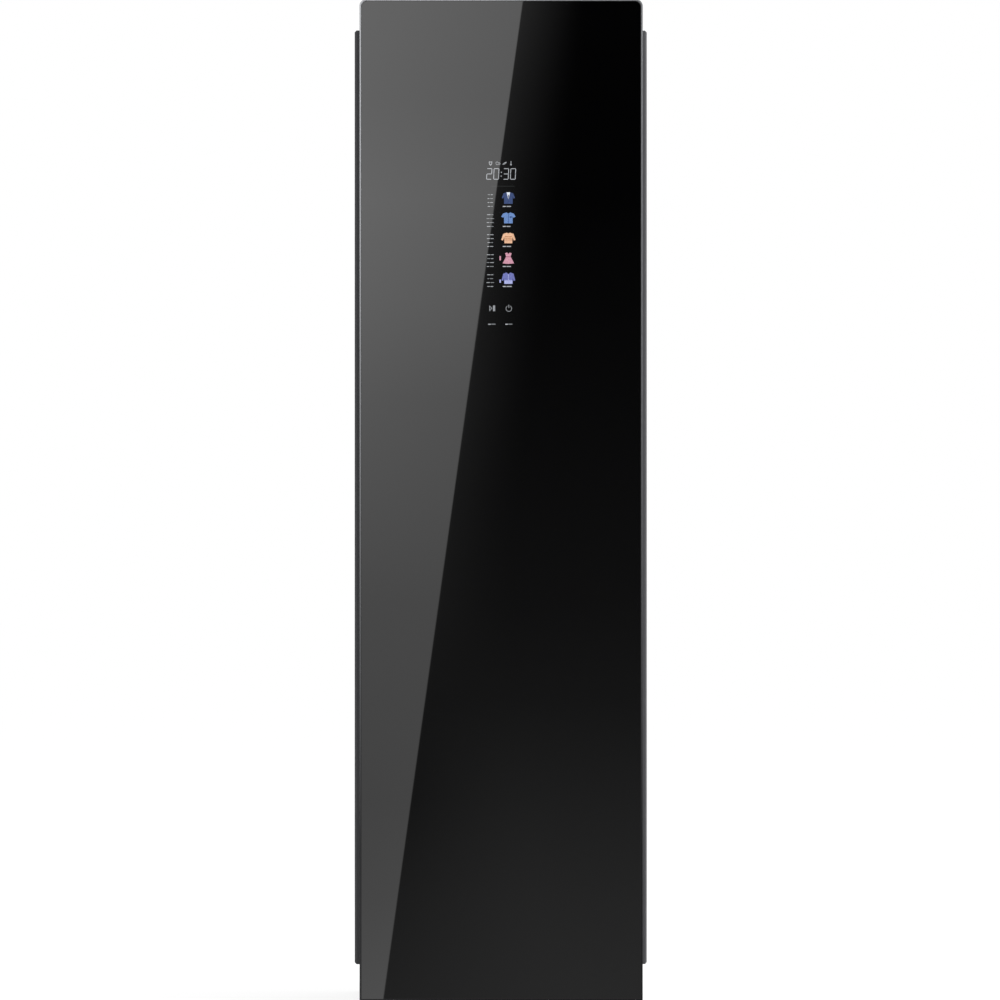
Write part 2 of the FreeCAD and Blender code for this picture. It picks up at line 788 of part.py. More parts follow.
# ---- Hanger shaker ---------------------------------------------------------------------------
def shaker_base():
    """Plate on the chamber roof with the guide blocks, the two guide rods and the motor bridge."""
    plate_z = (shaker_base_z, shaker_floor_z)
    above = shaker_floor_z - shaker_plate / 2
    pieces = [block(about(0, shaker_plate_width), about(0, shaker_plate_depth), plate_z)]
    for side in (-1, 1):
        x = about(side * guide_block_spacing / 2, guide_block_length)
        for rod_side in (-1, 1):
            y = about(rod_side * guide_rod_spread, 4 * guide_rod_radius)
            pieces.append(block(x, y, (above, carriage_top)))
        start = (-guide_block_spacing / 2, side * guide_rod_spread, guide_z)
        pieces.append(rod(start, along_x, guide_rod_radius, guide_block_spacing))
        leg_y = sorted((side * shaker_plate_depth / 2, side * (shaker_plate_depth / 2 - bridge_thickness)))
        pieces.append(block(about(0, bridge_width), leg_y, (above, bridge_top)))
    pieces.append(block(about(0, bridge_width), about(0, shaker_plate_depth), (bridge_z, bridge_top)))
    holes = [arm_slot(side, plate_z) for side in (-1, 1)]
    shaft_hole = 2 * (crank_shaft_radius + hand_gap)
    holes.append(block(about(0, shaft_hole), about(0, shaft_hole), grow((bridge_z, bridge_top), past)))
    return joined(pieces).cut(holes)


def shaker_motor():
    """Gear motor on the bridge, with the bore for the crank's shaft."""
    body = block(about(0, shaker_motor_width), about(0, shaker_motor_width),
                 (bridge_top, bridge_top + shaker_motor_height))
    body = bevelled(body, carriage_bevel, parallel_to(along_z))
    return body.cut(rod((0, 0, bridge_top - past), along_z, crank_shaft_radius + running_gap,
                        crank_shaft_reach + 2 * past))


def shaker_crank():
    """Crank web with its drive shaft above and the eccentric pin below."""
    web_radius = 2 * crank_pin_radius
    z = (crank_disc_z, crank_disc_z + crank_disc_thickness)
    web = block(about(0, 2 * web_radius), grow((-shake_stroke, shake_stroke), web_radius), z)
    web = bevelled(web, web_radius / 2, parallel_to(along_z))
    shaft_low = z[1] - overlap
    shaft = rod((0, 0, shaft_low), along_z, crank_shaft_radius, bridge_top + crank_shaft_reach - shaft_low)
    pin_low = carriage_top + open_pivot_gap
    pin = rod((0, shake_stroke, pin_low), along_z, crank_pin_radius, z[0] + overlap - pin_low)
    return joined([web, shaft, pin])


def shaker_carriage():
    """Sliding block on the two rods, with the cross slot that the crank pin works in."""
    body = block(about(0, carriage_length), about(0, carriage_width), (carriage_low, carriage_top))
    body = bevelled(body, carriage_bevel, parallel_to(along_z))
    cuts = []
    for side in (-1, 1):
        start = (-carriage_length, side * guide_rod_spread, guide_z)
        cuts.append(rod(start, along_x, guide_rod_radius + running_gap, 2 * carriage_length))
    slot_length = 2 * (shake_stroke + crank_pin_radius + yoke_end_gap)
    cuts.append(block(about(0, 2 * (crank_pin_radius + slide_gap)), about(0, slot_length),
                      (carriage_top - yoke_depth, carriage_top + past)))
    return body.cut(cuts)


def hanger_bar():
    """Notched bar with two arms that rise through the ceiling to the carriage."""
    z = (bar_top - hanger_bar_height, bar_top)
    bar = block(about(0, hanger_bar_length), about(0, hanger_bar_width), z)
    low_edge = beyond((0, 0, -1), -z[0])
    upright = parallel_to(along_z)
    bar = bevelled(bar, hanger_bar_bevel, lambda edge: low_edge(edge) or upright(edge))
    notches = []
    wide = about(0, hook_notch_width)
    for i in range(hook_notches):
        notch = block(wide, grow(about(0, hanger_bar_width), past), wide)
        notch.rotate(Vector(0, 0, 0), Vector(*along_y), 45)
        notch.translate(Vector((i - (hook_notches - 1) / 2) * hook_pitch, 0,
                               bar_top + hook_notch_width / math.sqrt(2) - hook_notch_sink))
        notches.append(notch)
    pieces = [bar.cut(notches)]
    for side in (-1, 1):
        arm_x = about(side * hanger_arm_spacing / 2, hanger_arm_width)
        pieces.append(block(arm_x, about(0, hanger_arm_depth), (bar_top - overlap, carriage_low)))
    return joined(pieces)


def control_box():
    """Electronics box on the chamber roof, behind the shaker, with cooling fins."""
    left_x = -chamber_half_width + control_box_side_gap
    x = (left_x, left_x + control_box_length)
    y = (shaker_plate_depth / 2 + control_box_gap, chamber_rear_y - control_box_gap)
    z = (liner_over, liner_over + control_box_height)
    pieces = [block(x, y, z)]
    for i in range(control_box_fins):
        fin_x = x[0] + control_box_length * (i + 1) / (control_box_fins + 1)
        pieces.append(block(about(fin_x, control_box_fin), grow(y, -control_box_gap),
                            (z[1] - overlap, z[1] + control_box_fin_height)))
    return joined(pieces)


# ---- Tank bay and tanks ----------------------------------------------------------------------
def tank_bay():
    """Open-fronted moulding with a divider, legs and a water socket behind each tank."""
    x = (-bay_half, bay_half)
    y = (frame_back_y, bay_rear_y)
    z = (bay_floor, bay_top)
    shell = block(grow(x, bay_wall), (y[0], y[1] + bay_wall), grow(z, bay_wall))
    shell = shell.cut(block(x, (y[0] - past, y[1]), z))
    pieces = [shell, block(about(0, bay_divider), (y[0], y[1] + overlap), grow(z, overlap))]
    for side in (-1, 1):
        leg_x = about(side * tank_middle_x, bay_leg)
        pieces.append(block(leg_x, grow(y, -bay_leg), (pan_floor, z[0] - bay_wall / 2)))
        pieces.append(block(leg_x, (y[1] + overlap, socket_rear_y), (z[0], z[0] + 2 * bay_leg)))
    return joined(pieces)


def tank_body(side):
    """Clear tank open at the top, with a finger recess in its front."""
    z = (bay_floor, bay_floor + tank_height)
    y = (tank_front_y, tank_front_y + tank_depth)
    shell = plate("Z", tank_x, y, z, tank_corner_radius)
    hollow = block(grow(tank_x, -tank_wall), grow(y, -tank_wall), (z[0] + tank_wall, z[1] + past))
    hollow = bevelled(hollow, tank_corner_radius / 2, parallel_to(along_z))
    grip_x = about(tank_middle_x, tank_grip_width)
    grip_z = about(z[1] - tank_grip_drop, tank_grip_height)
    cup = block(grow(grip_x, tank_wall), (y[0], y[0] + tank_grip_depth + tank_wall), grow(grip_z, tank_wall))
    pocket = block(grip_x, (y[0] - past, y[0] + tank_grip_depth), grip_z)
    pocket = bevelled(pocket, tank_corner_radius / 2, parallel_to(along_y))
    body = joined([shell.cut(hollow), cup]).cut(pocket)
    return body if side > 0 else mirrored(body)


def tank_cap(side):
    """Lid that closes a tank, with a filler cap standing on it."""
    z = bay_floor + tank_height
    y = (tank_front_y, tank_front_y + tank_depth)
    lid = plate("Z", tank_x, y, (z, z + tank_lid / 2), tank_corner_radius)
    filler = block(about(tank_middle_x, 2 * filler_radius), about((y[0] + y[1]) / 2, 2 * filler_radius),
                   (z + overlap, z + tank_lid))
    filler = bevelled(filler, filler_bevel, parallel_to(along_z))
    lid = joined([lid, filler])
    return lid if side > 0 else mirrored(lid)


# ---- Air path ------------------------------------------------------------------------------
def air_duct():
    """Open-topped tray hung under the chamber floor, holding the exchangers and the fan."""
    x = (-duct_half_width, duct_half_width)
    y = (duct_front_y, duct_rear_y)
    z = (duct_floor, liner_under)
    inside = block(grow(x, -duct_wall), grow(y, -duct_wall), (z[0] + duct_wall, z[1] + past))
    tray = block(x, y, z).cut(inside)
    shaft_y = grow((y[1] - duct_wall, y[1]), past)
    holes = [block(about(0, 2 * fan_boss_radius), shaft_y, about(wheel_z, 2 * fan_boss_radius))]
    pipe_hole = 2 * (pipe_radius + slide_gap)
    for front in (evaporator_y, condenser_y):
        holes.append(block(about(header_x, pipe_hole), about(front + exchanger_depth / 2, pipe_hole),
                           grow((z[0], z[0] + duct_wall), past)))
    return tray.cut(holes)


def exchanger(front):
    """Fin block with end plates, rails and the header block that its pipe enters."""
    x = exchanger_x
    y = (front, front + exchanger_depth)
    z = (duct_floor + duct_wall, duct_floor + duct_wall + exchanger_height)
    frame = block(x, y, z).cut(block(grow(x, -exchanger_frame), grow(y, past), grow(z, -exchanger_frame)))
    pieces = [frame]
    fins = int((x[1] - x[0]) // fin_pitch)
    for i in range(1, fins):
        fin_x = x[0] + i * (x[1] - x[0]) / fins
        pieces.append(block(about(fin_x, fin_thickness), y, grow(z, -overlap)))
    header_y = about(front + exchanger_depth / 2, 2 * header_radius)
    pieces.append(block(about(header_x, 2 * header_radius), header_y, (z[0], z[1] - header_headroom)))
    return joined(pieces)


def lint_filter():
    """Lift-out filter: rim with a pull bar, and a windowed basket."""
    x = (-filter_half_width, filter_half_width)
    z = chamber_floor
    low = z - filter_height
    rim = ring("Z", grow(x, filter_rim), grow(filter_y, filter_rim), (z, z + filter_rim_thickness),
               2 * filter_rim)
    inside = block(grow(x, -filter_wall), grow(filter_y, -filter_wall), (low + filter_wall, z + 2 * past))
    basket = block(x, filter_y, (low, z + overlap)).cut(inside)
    windows = []
    window_z = (low + filter_window_sill, z - filter_window_head)
    pitch = 2 * filter_half_width / filter_windows
    for i in range(filter_windows):
        window_x = about((i - (filter_windows - 1) / 2) * pitch, pitch * filter_window_share)
        windows.append(block(window_x, grow(filter_y, past), window_z))
    pull_y = filter_y[0] - filter_rim / 2
    pull = block(about(0, filter_pull_length), (pull_y, pull_y + filter_pull_width),
                 (z + overlap, z + filter_pull_height))
    return joined([rim, basket.cut(windows), pull])


def volute_face(extra):
    """Face of the volute in the XZ plane, moved outward by extra.

    A spiral of growing radius runs from the cutoff round to the outlet, which goes straight up.
    """
    left_x = outlet_x[0] - extra
    top_z = liner_under - wheel_z
    cutoff = math.acos(left_x / (volute_inner + extra))
    corners = [Vector(left_x, 0, top_z)]
    for i in range(volute_flat_count + 1):
        share = i / volute_flat_count
        turn = cutoff + (2 * math.pi - cutoff) * share
        radius = volute_inner + extra + volute_growth * share
        corners.append(Vector(math.cos(turn), 0, math.sin(turn)) * radius)
    corners.append(Vector(corners[-1].x, 0, top_z))
    corners.append(corners[0])
    return Part.Face(Part.makePolygon(corners))


def fan_scroll():
    """Volute housing with a front inlet ring and an outlet up to the chamber floor."""
    housing = volute_face(scroll_wall).extrude(Vector(0, scroll_length, 0))
    housing.translate(Vector(0, scroll_y[0], wheel_z))
    space = volute_face(0.0).extrude(Vector(0, scroll_length - 2 * scroll_wall, 0))
    space.translate(Vector(0, scroll_y[0] + scroll_wall, wheel_z))
    inlet = prism((0, scroll_y[0] - past, wheel_z), along_y, wheel_radius - blade_depth,
                  scroll_wall + 2 * past, 2 * wheel_blades)
    shaft_y = grow((scroll_y[1] - scroll_wall, scroll_y[1]), past)
    shaft_hole = block(about(0, 2 * fan_boss_radius), shaft_y, about(wheel_z, 2 * fan_boss_radius))
    return housing.cut([space, inlet, shaft_hole])


def blade_face():
    """Section of one forward-curved blade in the XZ plane, bent once at its middle."""
    lean = math.radians(blade_lean)
    start = Vector(wheel_radius - blade_depth, 0, 0)
    end = Vector(math.cos(lean), 0, math.sin(lean)) * (wheel_radius - overlap / 2)
    middle = (start + end) * 0.5 + Vector(1, 0, -1) * blade_bow
    front = [start, middle, end]
    back = [corner + Vector(0, 0, blade_thickness) for corner in reversed(front)]
    return Part.Face(Part.makePolygon(front + back + [start]))


def wheel_plate(radius, low, thickness):
    """Disc across the fan's axis, its rim made of flats at twice the blades' count."""
    corner_radius = radius / math.cos(math.pi / (2 * wheel_blades))
    return prism((0, low, wheel_z), along_y, corner_radius, thickness, 2 * wheel_blades)


def fan_wheel():
    """Centrifugal wheel: back disc, shaft, curved blades and a front ring."""
    low = scroll_y[0] + scroll_wall + volute_clearance
    high = low + wheel_width
    back = wheel_plate(wheel_radius, high - wheel_disc, wheel_disc)
    shaft = rod((0, high - overlap, wheel_z), along_y, fan_shaft_radius,
                duct_rear_y + fan_shaft_reach - high + overlap)
    front = wheel_plate(wheel_radius, low, wheel_disc)
    front = front.cut(wheel_plate(wheel_radius - blade_depth, low - past, wheel_disc + 2 * past))
    pieces = [back, shaft, front]
    for i in range(wheel_blades):
        blade = blade_face().extrude(Vector(0, wheel_width - wheel_disc, 0))
        blade.translate(Vector(0, low + wheel_disc / 2, wheel_z))
        blade.rotate(Vector(0, 0, wheel_z), Vector(*along_y), 360.0 * i / wheel_blades)
        pieces.append(blade)
    return joined(pieces)


def fan_motor():
    """Fan motor can on the back of the duct, with the bore for the wheel's shaft."""
    can = prism((0, duct_rear_y, wheel_z), along_y, fan_motor_radius, fan_motor_length, fan_motor_flat_count)
    return can.cut(rod((0, duct_rear_y - past, wheel_z), along_y, fan_shaft_radius + running_gap,
                       fan_shaft_reach + 2 * past))


def outlet_grille():
    """Slatted outlet cover over the fan's opening in the chamber floor."""
    x = grow(outlet_x, grille_rim / 2)
    y = grow(scroll_y, grille_rim / 2 - scroll_wall)
    z = (chamber_floor, chamber_floor + grille_thickness)
    pieces = [ring("Z", x, y, z, grille_rim)]
    clear = grow(y, -grille_rim)
    for i in range(grille_slats):
        slat_y = clear[0] + (clear[1] - clear[0]) * (i + 0.5) / grille_slats
        pieces.append(block(grow(x, -grille_rim / 2), about(slat_y, grille_slat_width), z))
    return joined(pieces)


# ---- Machine space -------------------------------------------------------------------------
def compressor():
    """Hermetic compressor: two deep-drawn halves with a seam, on a foot plate."""
    foot_z = (compressor_low, compressor_low + compressor_foot_plate)
    foot_plate = block(about(compressor_x, compressor_foot), about(compressor_y, compressor_foot), foot_z)
    foot_plate = bevelled(foot_plate, grommet_width / 2, parallel_to(along_z))
    start = (compressor_x, compressor_y, foot_z[1] - overlap)
    can = prism(start, along_z, compressor_radius, compressor_top - start[2], compressor_flat_count)
    can = bevelled(can, compressor_shoulder, beyond(along_z, compressor_top))
    seam_z = (foot_z[1] + compressor_top) / 2
    seam = prism((compressor_x, compressor_y, seam_z), along_z, compressor_radius + compressor_seam,
                 compressor_seam, compressor_flat_count)
    return joined([can, foot_plate, seam])


def compressor_mounts():
    """Rubber feet between the compressor's foot plate and the floor pan."""
    reach = compressor_foot / 2 - grommet_width
    mounts = []
    z = (pan_floor, compressor_low)
    for x in (compressor_x - reach, compressor_x + reach):
        for y in (compressor_y - reach, compressor_y + reach):
            mounts.append(block(about(x, grommet_width), about(y, grommet_width), z))
    return group(mounts)


def refrigerant_pipes():
    """Suction and discharge pipes from the compressor's top to the exchangers' header blocks."""
    high = duct_floor + duct_wall
    pipes = []
    for front in (evaporator_y, condenser_y):
        start = (header_x, front + exchanger_depth / 2, compressor_top)
        pipes.append(prism(start, along_z, pipe_radius, high - compressor_top, pipe_flat_count))
    return group(pipes)


def steam_boiler():
    """Flat heater box on two feet."""
    pieces = [bevelled(block(boiler_x, boiler_y, boiler_z), boiler_bevel, parallel_to(along_z))]
    for x in (boiler_x[0] + boiler_feet, boiler_x[1] - boiler_feet):
        pieces.append(block(about(x, boiler_feet), grow(boiler_y, -boiler_foot_margin),
                            (pan_floor, boiler_z[0] + overlap)))
    return joined(pieces)


def steam_hose():
    """Hose from the boiler's top up beside the duct to the steam nozzle in the chamber's floor."""
    return prism((steam_x, steam_y, boiler_z[1]), along_z, steam_hose_radius, chamber_floor - boiler_z[1],
                 pipe_flat_count)


def steam_nozzle():
    """Slotted steam outlet on the chamber's floor, over the end of the hose."""
    z = (chamber_floor, chamber_floor + nozzle_height)
    boss = block(about(steam_x, nozzle_width), about(steam_y, nozzle_width), z)
    boss = bevelled(boss, nozzle_edge, beyond(along_z, z[1]))
    slots = []
    for i in range(nozzle_slots):
        slot_y = steam_y + (i - (nozzle_slots - 1) / 2) * 2 * nozzle_slot_width
        slots.append(block(about(steam_x, nozzle_width - 2 * nozzle_edge), about(slot_y, nozzle_slot_width),
                           (z[0] + nozzle_edge, z[1] + past)))
    return boss.cut(slots)


def water_pumps():
    """Water pump on the left and drain pump on the right: motors with square heads, on feet."""
    solids = []
    for side in (-1, 1):
        x = side * pump_x
        body = prism((x, pump_y, pump_z), along_y, pump_radius, pump_length, pump_flat_count)
        head = block(about(x, 2 * pump_head_half), pump_head_y, about(pump_z, 2 * pump_head_half))
        head = bevelled(head, pump_head_bevel, parallel_to(along_y))
        foot_y = (pump_y + pump_foot_setback, pump_y + pump_length - pump_foot_setback)
        foot_plate = block(about(x, 1.5 * pump_radius), foot_y, (pan_floor, pump_z - pump_radius / 2))
        solids.append(joined([body, head, foot_plate]))
    return group(solids)


def water_hoses():
    """Hoses between the tanks' sockets, the two pumps, the boiler and the duct's drain."""
    socket_z = bay_floor + bay_leg
    feed_z = boiler_z[1] - 2 * water_hose_radius
    head_top = pump_z + pump_head_half
    routes = [[(-pump_x, pump_head_middle_y, head_top), (-pump_x, pump_head_middle_y, feed_z),
               (feed_hose_x, pump_head_middle_y, feed_z), (feed_hose_x, steam_y, feed_z),
               (boiler_x[0], steam_y, feed_z)],
              [(pump_x, pump_head_middle_y, head_top), (pump_x, pump_head_middle_y, duct_floor)]]
    for side in (-1, 1):
        x = side * tank_middle_x
        head_side_x = side * (pump_x - pump_head_half)
        routes.append([(x, socket_rear_y, socket_z), (x, pump_head_middle_y, socket_z),
                       (x, pump_head_middle_y, pump_z), (head_side_x, pump_head_middle_y, pump_z)])
    return group([tube(route, water_hose_radius, water_hose_flat_count, water_hose_bend) for route in routes])


def power_inlet():
    """Cable gland in the rear cover."""
    barrel = block(about(gland_x, gland_width), (gland_back_y - gland_barrel, gland_back_y + overlap),
                   about(gland_z, gland_width))
    flange_width_out = gland_width + 2 * gland_flange
    flange = block(about(gland_x, flange_width_out), (gland_back_y, gland_back_y + gland_flange),
                   about(gland_z, flange_width_out))
    flange = bevelled(flange, gland_flange, parallel_to(along_y))
    bore = rod((gland_x, gland_back_y - gland_barrel - past, gland_z), along_y, gland_bore_radius,
               gland_barrel + gland_flange + 2 * past)
    return joined([barrel, flange]).cut(bore)


def levelling_foot(place):
    """Levelling foot: a many-sided pad to turn by hand, a hexagon and the threaded stem."""
    x, y = place
    pad = prism((x, y, 0), along_z, foot_radius, foot_pad_height, foot_flat_count)
    nut = prism((x, y, foot_pad_height - overlap), along_z, foot_nut_radius, foot_nut_height + overlap,
                foot_nut_flat_count)
    stem_low = foot_pad_height + foot_nut_height - overlap
    stem = rod((x, y, stem_low), along_z, foot_thread_radius, stem_top - stem_low)
    return joined([pad, nut, stem])


# ---- Hinges --------------------------------------------------------------------------------
def hinge_arm(z):
    """Arm outline from the fixing plate out to the round nose over the hinge axis."""
    nose = rod((hinge_x, hinge_y, z[0]), along_z, hinge_arm_right, z[1] - z[0])
    arm = block((hinge_x - hinge_arm_left, hinge_x + hinge_arm_right), (hinge_y, face_y), z)
    shoulder = block((hinge_x - hinge_nose_left, hinge_x), (hinge_y - hinge_arm_right, hinge_y + overlap), z)
    return [nose, arm, shoulder]


def top_hinge():
    """Hinge plate screwed to the cabinet's top, with its pin down into the door."""
    z = (cabinet_top, cabinet_top + hinge_plate)
    fixing = block((hinge_x - hinge_fixing_width, hinge_x + hinge_arm_right),
                   (face_y - overlap, frame_back_y + hinge_fixing_depth), z)
    pin = rod((hinge_x, hinge_y, cabinet_top - hinge_pin_length), along_z, hinge_pin_radius,
              hinge_pin_length + overlap)
    return joined(hinge_arm(z) + [fixing, pin])


def bottom_hinge():
    """Angle bracket on the front frame, with its pin up into the door."""
    high = chassis_low - bush_flange - overlap
    z = (high - hinge_plate, high)
    fixing_x = (hinge_x - hinge_foot_width, hinge_x + hinge_arm_right)
    fixing = block(fixing_x, (face_y - frame_thickness, face_y),
                   (cabinet_floor_gap, bay_floor - 2 * flange_clearance))
    pin = rod((hinge_x, hinge_y, high - overlap), along_z, hinge_pin_radius, hinge_pin_length + overlap)
    return joined(hinge_arm(z) + [fixing, pin])


def hinge_cover():
    """Moulded cap over the top hinge's fixing plate."""
    z = (cabinet_top + hinge_plate, cabinet_top + hinge_plate + hinge_cover_height)
    x = (hinge_x - hinge_fixing_width, hinge_x + hinge_arm_right)
    y = (face_y + chassis_end_gap, frame_back_y + hinge_fixing_depth)
    cover = bevelled(block(x, y, z), hinge_cover_edge, beyond(along_z, z[1]))
    return cover.cut(block(grow(x, -hinge_cover_wall), grow(y, -hinge_cover_wall),
                           (z[0] - past, z[1] - hinge_cover_wall)))


# ---- Door ----------------------------------------------------------------------------------
def shrunk(radii, by):
    return tuple(max(0.0, radius - by) for radius in radii)


def door_glass():
    """Glass front with rounded top corners, inside the aluminium edge."""
    v = grow((door_low, door_high), -trim_width)
    return plate("Y", (-trim_inner_half, trim_inner_half), v, (front_y, glass_back_y),
                 shrunk(door_corner_radii, trim_width))


def door_trim():
    """Aluminium edge round the glass, with a lip that carries it from behind."""
    u = (-half_width, half_width)
    v = (door_low, door_high)
    body = plate("Y", u, v, (front_y, lip_back_y), door_corner_radii)
    seat = plate("Y", grow(u, -trim_width), grow(v, -trim_width), (front_y - past, glass_back_y),
                 shrunk(door_corner_radii, trim_width))
    window = plate("Y", grow(u, -trim_width - trim_lip), grow(v, -trim_width - trim_lip),
                   grow((front_y, lip_back_y), past))
    return body.cut([seat, window])


def rib_heights():
    """Heights of the chassis's cross ribs, which part its foam into bays."""
    return [chassis_low + (chassis_high - chassis_low) * i / chassis_bays for i in range(1, chassis_bays)]


def bush_spans():
    """Height ranges of the two hinge bushes."""
    low = (chassis_low - bush_flange, chassis_low + hinge_pin_length)
    high = (chassis_high - hinge_pin_length, chassis_high + bush_flange)
    return (low, high)


def bush_block(z):
    """Square body of a hinge bush, which is also its seat in the chassis."""
    wide = 2 * (hinge_pin_radius + bush_wall)
    return block(about(hinge_x, wide), about(hinge_y, wide), z)


def grip_block(inset):
    """Outer volume of the grip insert, or its pocket when moved in by a wall."""
    low_x = -chassis_half if inset == 0 else -chassis_half - past
    y = (lip_back_y + chassis_wall, chassis_back_y - chassis_rib)
    z = about(grip_middle_height, grip_length)
    radii = (0.0, grip_corner_radius, grip_corner_radius, 0.0)
    return plate("Y", (low_x, -chassis_half + grip_depth + grip_wall - inset), grow(z, grip_wall - inset),
                 grow(y, -inset), radii)


def display_pocket(depth):
    """Room behind the glass for the display module, with the given depth."""
    return block(about(0, display_width), (glass_back_y - past, glass_back_y + depth), display_z)


def door_chassis():
    """Moulded door tray: skin behind the glass, side walls, cross ribs and hinge bosses."""
    u = (-chassis_half, chassis_half)
    v = (chassis_low, chassis_high)
    skin_u = grow((-trim_inner_half, trim_inner_half), -trim_lip - slide_gap)
    skin = block(skin_u, (glass_back_y, lip_back_y), v)
    wall = ring("Y", u, v, (lip_back_y, chassis_back_y), chassis_wall)
    step = ring("Y", u, v, (lip_back_y, lip_back_y + chassis_wall), chassis_step)
    pieces = [skin, wall, step]
    rib_y = (lip_back_y, chassis_back_y - chassis_rib)
    for z in rib_heights():
        pieces.append(block(grow(u, -overlap), rib_y, about(z, chassis_rib)))
    boss = 2 * (hinge_pin_radius + bush_wall + hinge_boss_wall)
    boss_length = hinge_pin_length + hinge_boss_end
    for z in ((v[0], v[0] + boss_length), (v[1] - boss_length, v[1])):
        pieces.append(block((hinge_x - boss / 2, chassis_half - overlap), (lip_back_y, chassis_back_y), z))
    cuts = [bush_block(z) for z in bush_spans()]
    cuts.append(display_pocket(display_depth))
    cuts.append(grip_block(0.0))
    return joined(pieces).cut(cuts)


def door_grip():
    """Finger groove moulding let into the door's free side."""
    return grip_block(0.0).cut(grip_block(grip_wall))


def door_foam():
    """Foam blocks between the chassis ribs, cut back round the display, grip and hinge bosses."""
    levels = [chassis_low + chassis_step] + rib_heights() + [chassis_high - chassis_step]
    boss_reach = hinge_x - hinge_pin_radius - bush_wall - hinge_boss_wall
    x = (-chassis_half + chassis_wall + grip_depth + grip_wall, boss_reach - foam_gap)
    y = (lip_back_y, chassis_back_y - foam_gap)
    blocks = []
    for low, high in zip(levels, levels[1:]):
        z = grow((low, high), -chassis_rib / 2 - foam_gap)
        blocks.extend(block(x, y, z).cut(display_pocket(display_depth + foam_gap)).Solids)
    return group(blocks)


def door_liner():
    """Inner door panel: a shallow moulded pan."""
    u = grow((-chassis_half, chassis_half), -door_liner_inset)
    v = grow((chassis_low, chassis_high), -door_liner_inset)
    pan = plate("Y", u, v, (chassis_back_y, door_liner_back_y), door_liner_radius)
    hollow = block(grow(u, -door_liner_wall), (chassis_back_y - past, door_liner_back_y - door_liner_wall),
                   grow(v, -door_liner_wall))
    return pan.cut(hollow)


def door_gasket():
    """Magnetic seal ring: flat base and a rounded bulb towards the cabinet."""
    u = grow((-chamber_half_width, chamber_half_width), seal_land + gasket_width)
    v = grow((chamber_floor, chamber_ceiling), seal_land + gasket_width)
    y = (door_liner_back_y, face_y - gasket_compression_gap)
    base = ring("Y", u, v, (y[0], y[0] + gasket_base), gasket_width, gasket_corner_radius)
    inset = (gasket_width - gasket_bulb) / 2
    bulb = ring("Y", grow(u, -inset), grow(v, -inset), (y[0] + gasket_base, y[1]), gasket_bulb)
    return joined([base, bulb])


def display_module():
    """Display and touch-key housing bonded to the back of the glass."""
    x = about(0, display_width - 2 * press_in_gap)
    z = grow(display_z, -press_in_gap)
    body = block(x, (glass_back_y, glass_back_y + display_depth - overlap), z)
    lug = block(about(0, display_lug_width), (glass_back_y + overlap, glass_back_y + display_depth),
                grow(z, -display_lug_end))
    return joined([body, lug])


def door_bushes():
    """Hinge bushes pressed into the chassis's two bosses, each standing a little proud."""
    bushes = []
    for z in bush_spans():
        length = z[1] - z[0] + 2 * past
        hole = rod((hinge_x, hinge_y, z[0] - past), along_z, hinge_pin_radius + running_gap, length)
        bushes.append(bush_block(z).cut(hole))
    return group(bushes)


# ---- Trouser press ---------------------------------------------------------------------------
def press_board():
    """Padded board fixed to the door liner, with the press hinge lugs and pins."""
    x = about(0, press_width)
    y = (door_liner_back_y, door_liner_back_y + press_board_thickness)
    z = (press_bottom, press_bottom + press_height)
    pieces = [bevelled(block(x, y, z), press_bevel, beyond(along_y, y[1]))]
    for level in press_knuckle_levels:
        low = level - press_lug - slide_gap
        high = level + press_knuckle_length + slide_gap
        for lug_z in ((low, low + press_lug), (high, high + press_lug)):
            pieces.append(block((x[1] - press_lug, press_pin_x + press_knuckle_radius), y, lug_z))
            pieces.append(block(about(press_pin_x, 2 * press_knuckle_radius),
                                (y[0], press_pin_y + press_knuckle_radius), lug_z))
        pieces.append(rod((press_pin_x, press_pin_y, low), along_z, press_pin_radius, high + press_lug - low))
    return joined(pieces)


def press_plate():
    """Swinging ribbed plate that holds the trousers against the board."""
    x = about(0, press_width)
    y = (press_plate_y, press_plate_y + press_plate_thickness)
    z = (press_bottom, press_bottom + press_height)
    outer = bevelled(block(x, y, z), press_bevel, beyond(along_y, y[1]))
    hollow_y = (y[0] - past, y[1] - press_plate_wall)
    pieces = [outer.cut(block(grow(x, -press_plate_rim), hollow_y, grow(z, -press_plate_rim)))]
    rib_x = grow(x, -press_plate_rim / 2)
    for i in range(1, press_ribs + 1):
        rib_z = z[0] + press_height * i / (press_ribs + 1)
        pieces.append(block(rib_x, (y[0], y[1] - overlap), about(rib_z, press_plate_wall)))
    bores = []
    knuckle_x = (x[1] - press_lug, press_pin_x + press_knuckle_radius)
    knuckle_y = about(press_pin_y, 2 * press_knuckle_radius)
    for level in press_knuckle_levels:
        pieces.append(block(knuckle_x, knuckle_y, (level, level + press_knuckle_length)))
        bores.append(rod((press_pin_x, press_pin_y, level - past), along_z, press_pin_radius + running_gap,
                         press_knuckle_length + 2 * past))
    return joined(pieces).cut(bores)


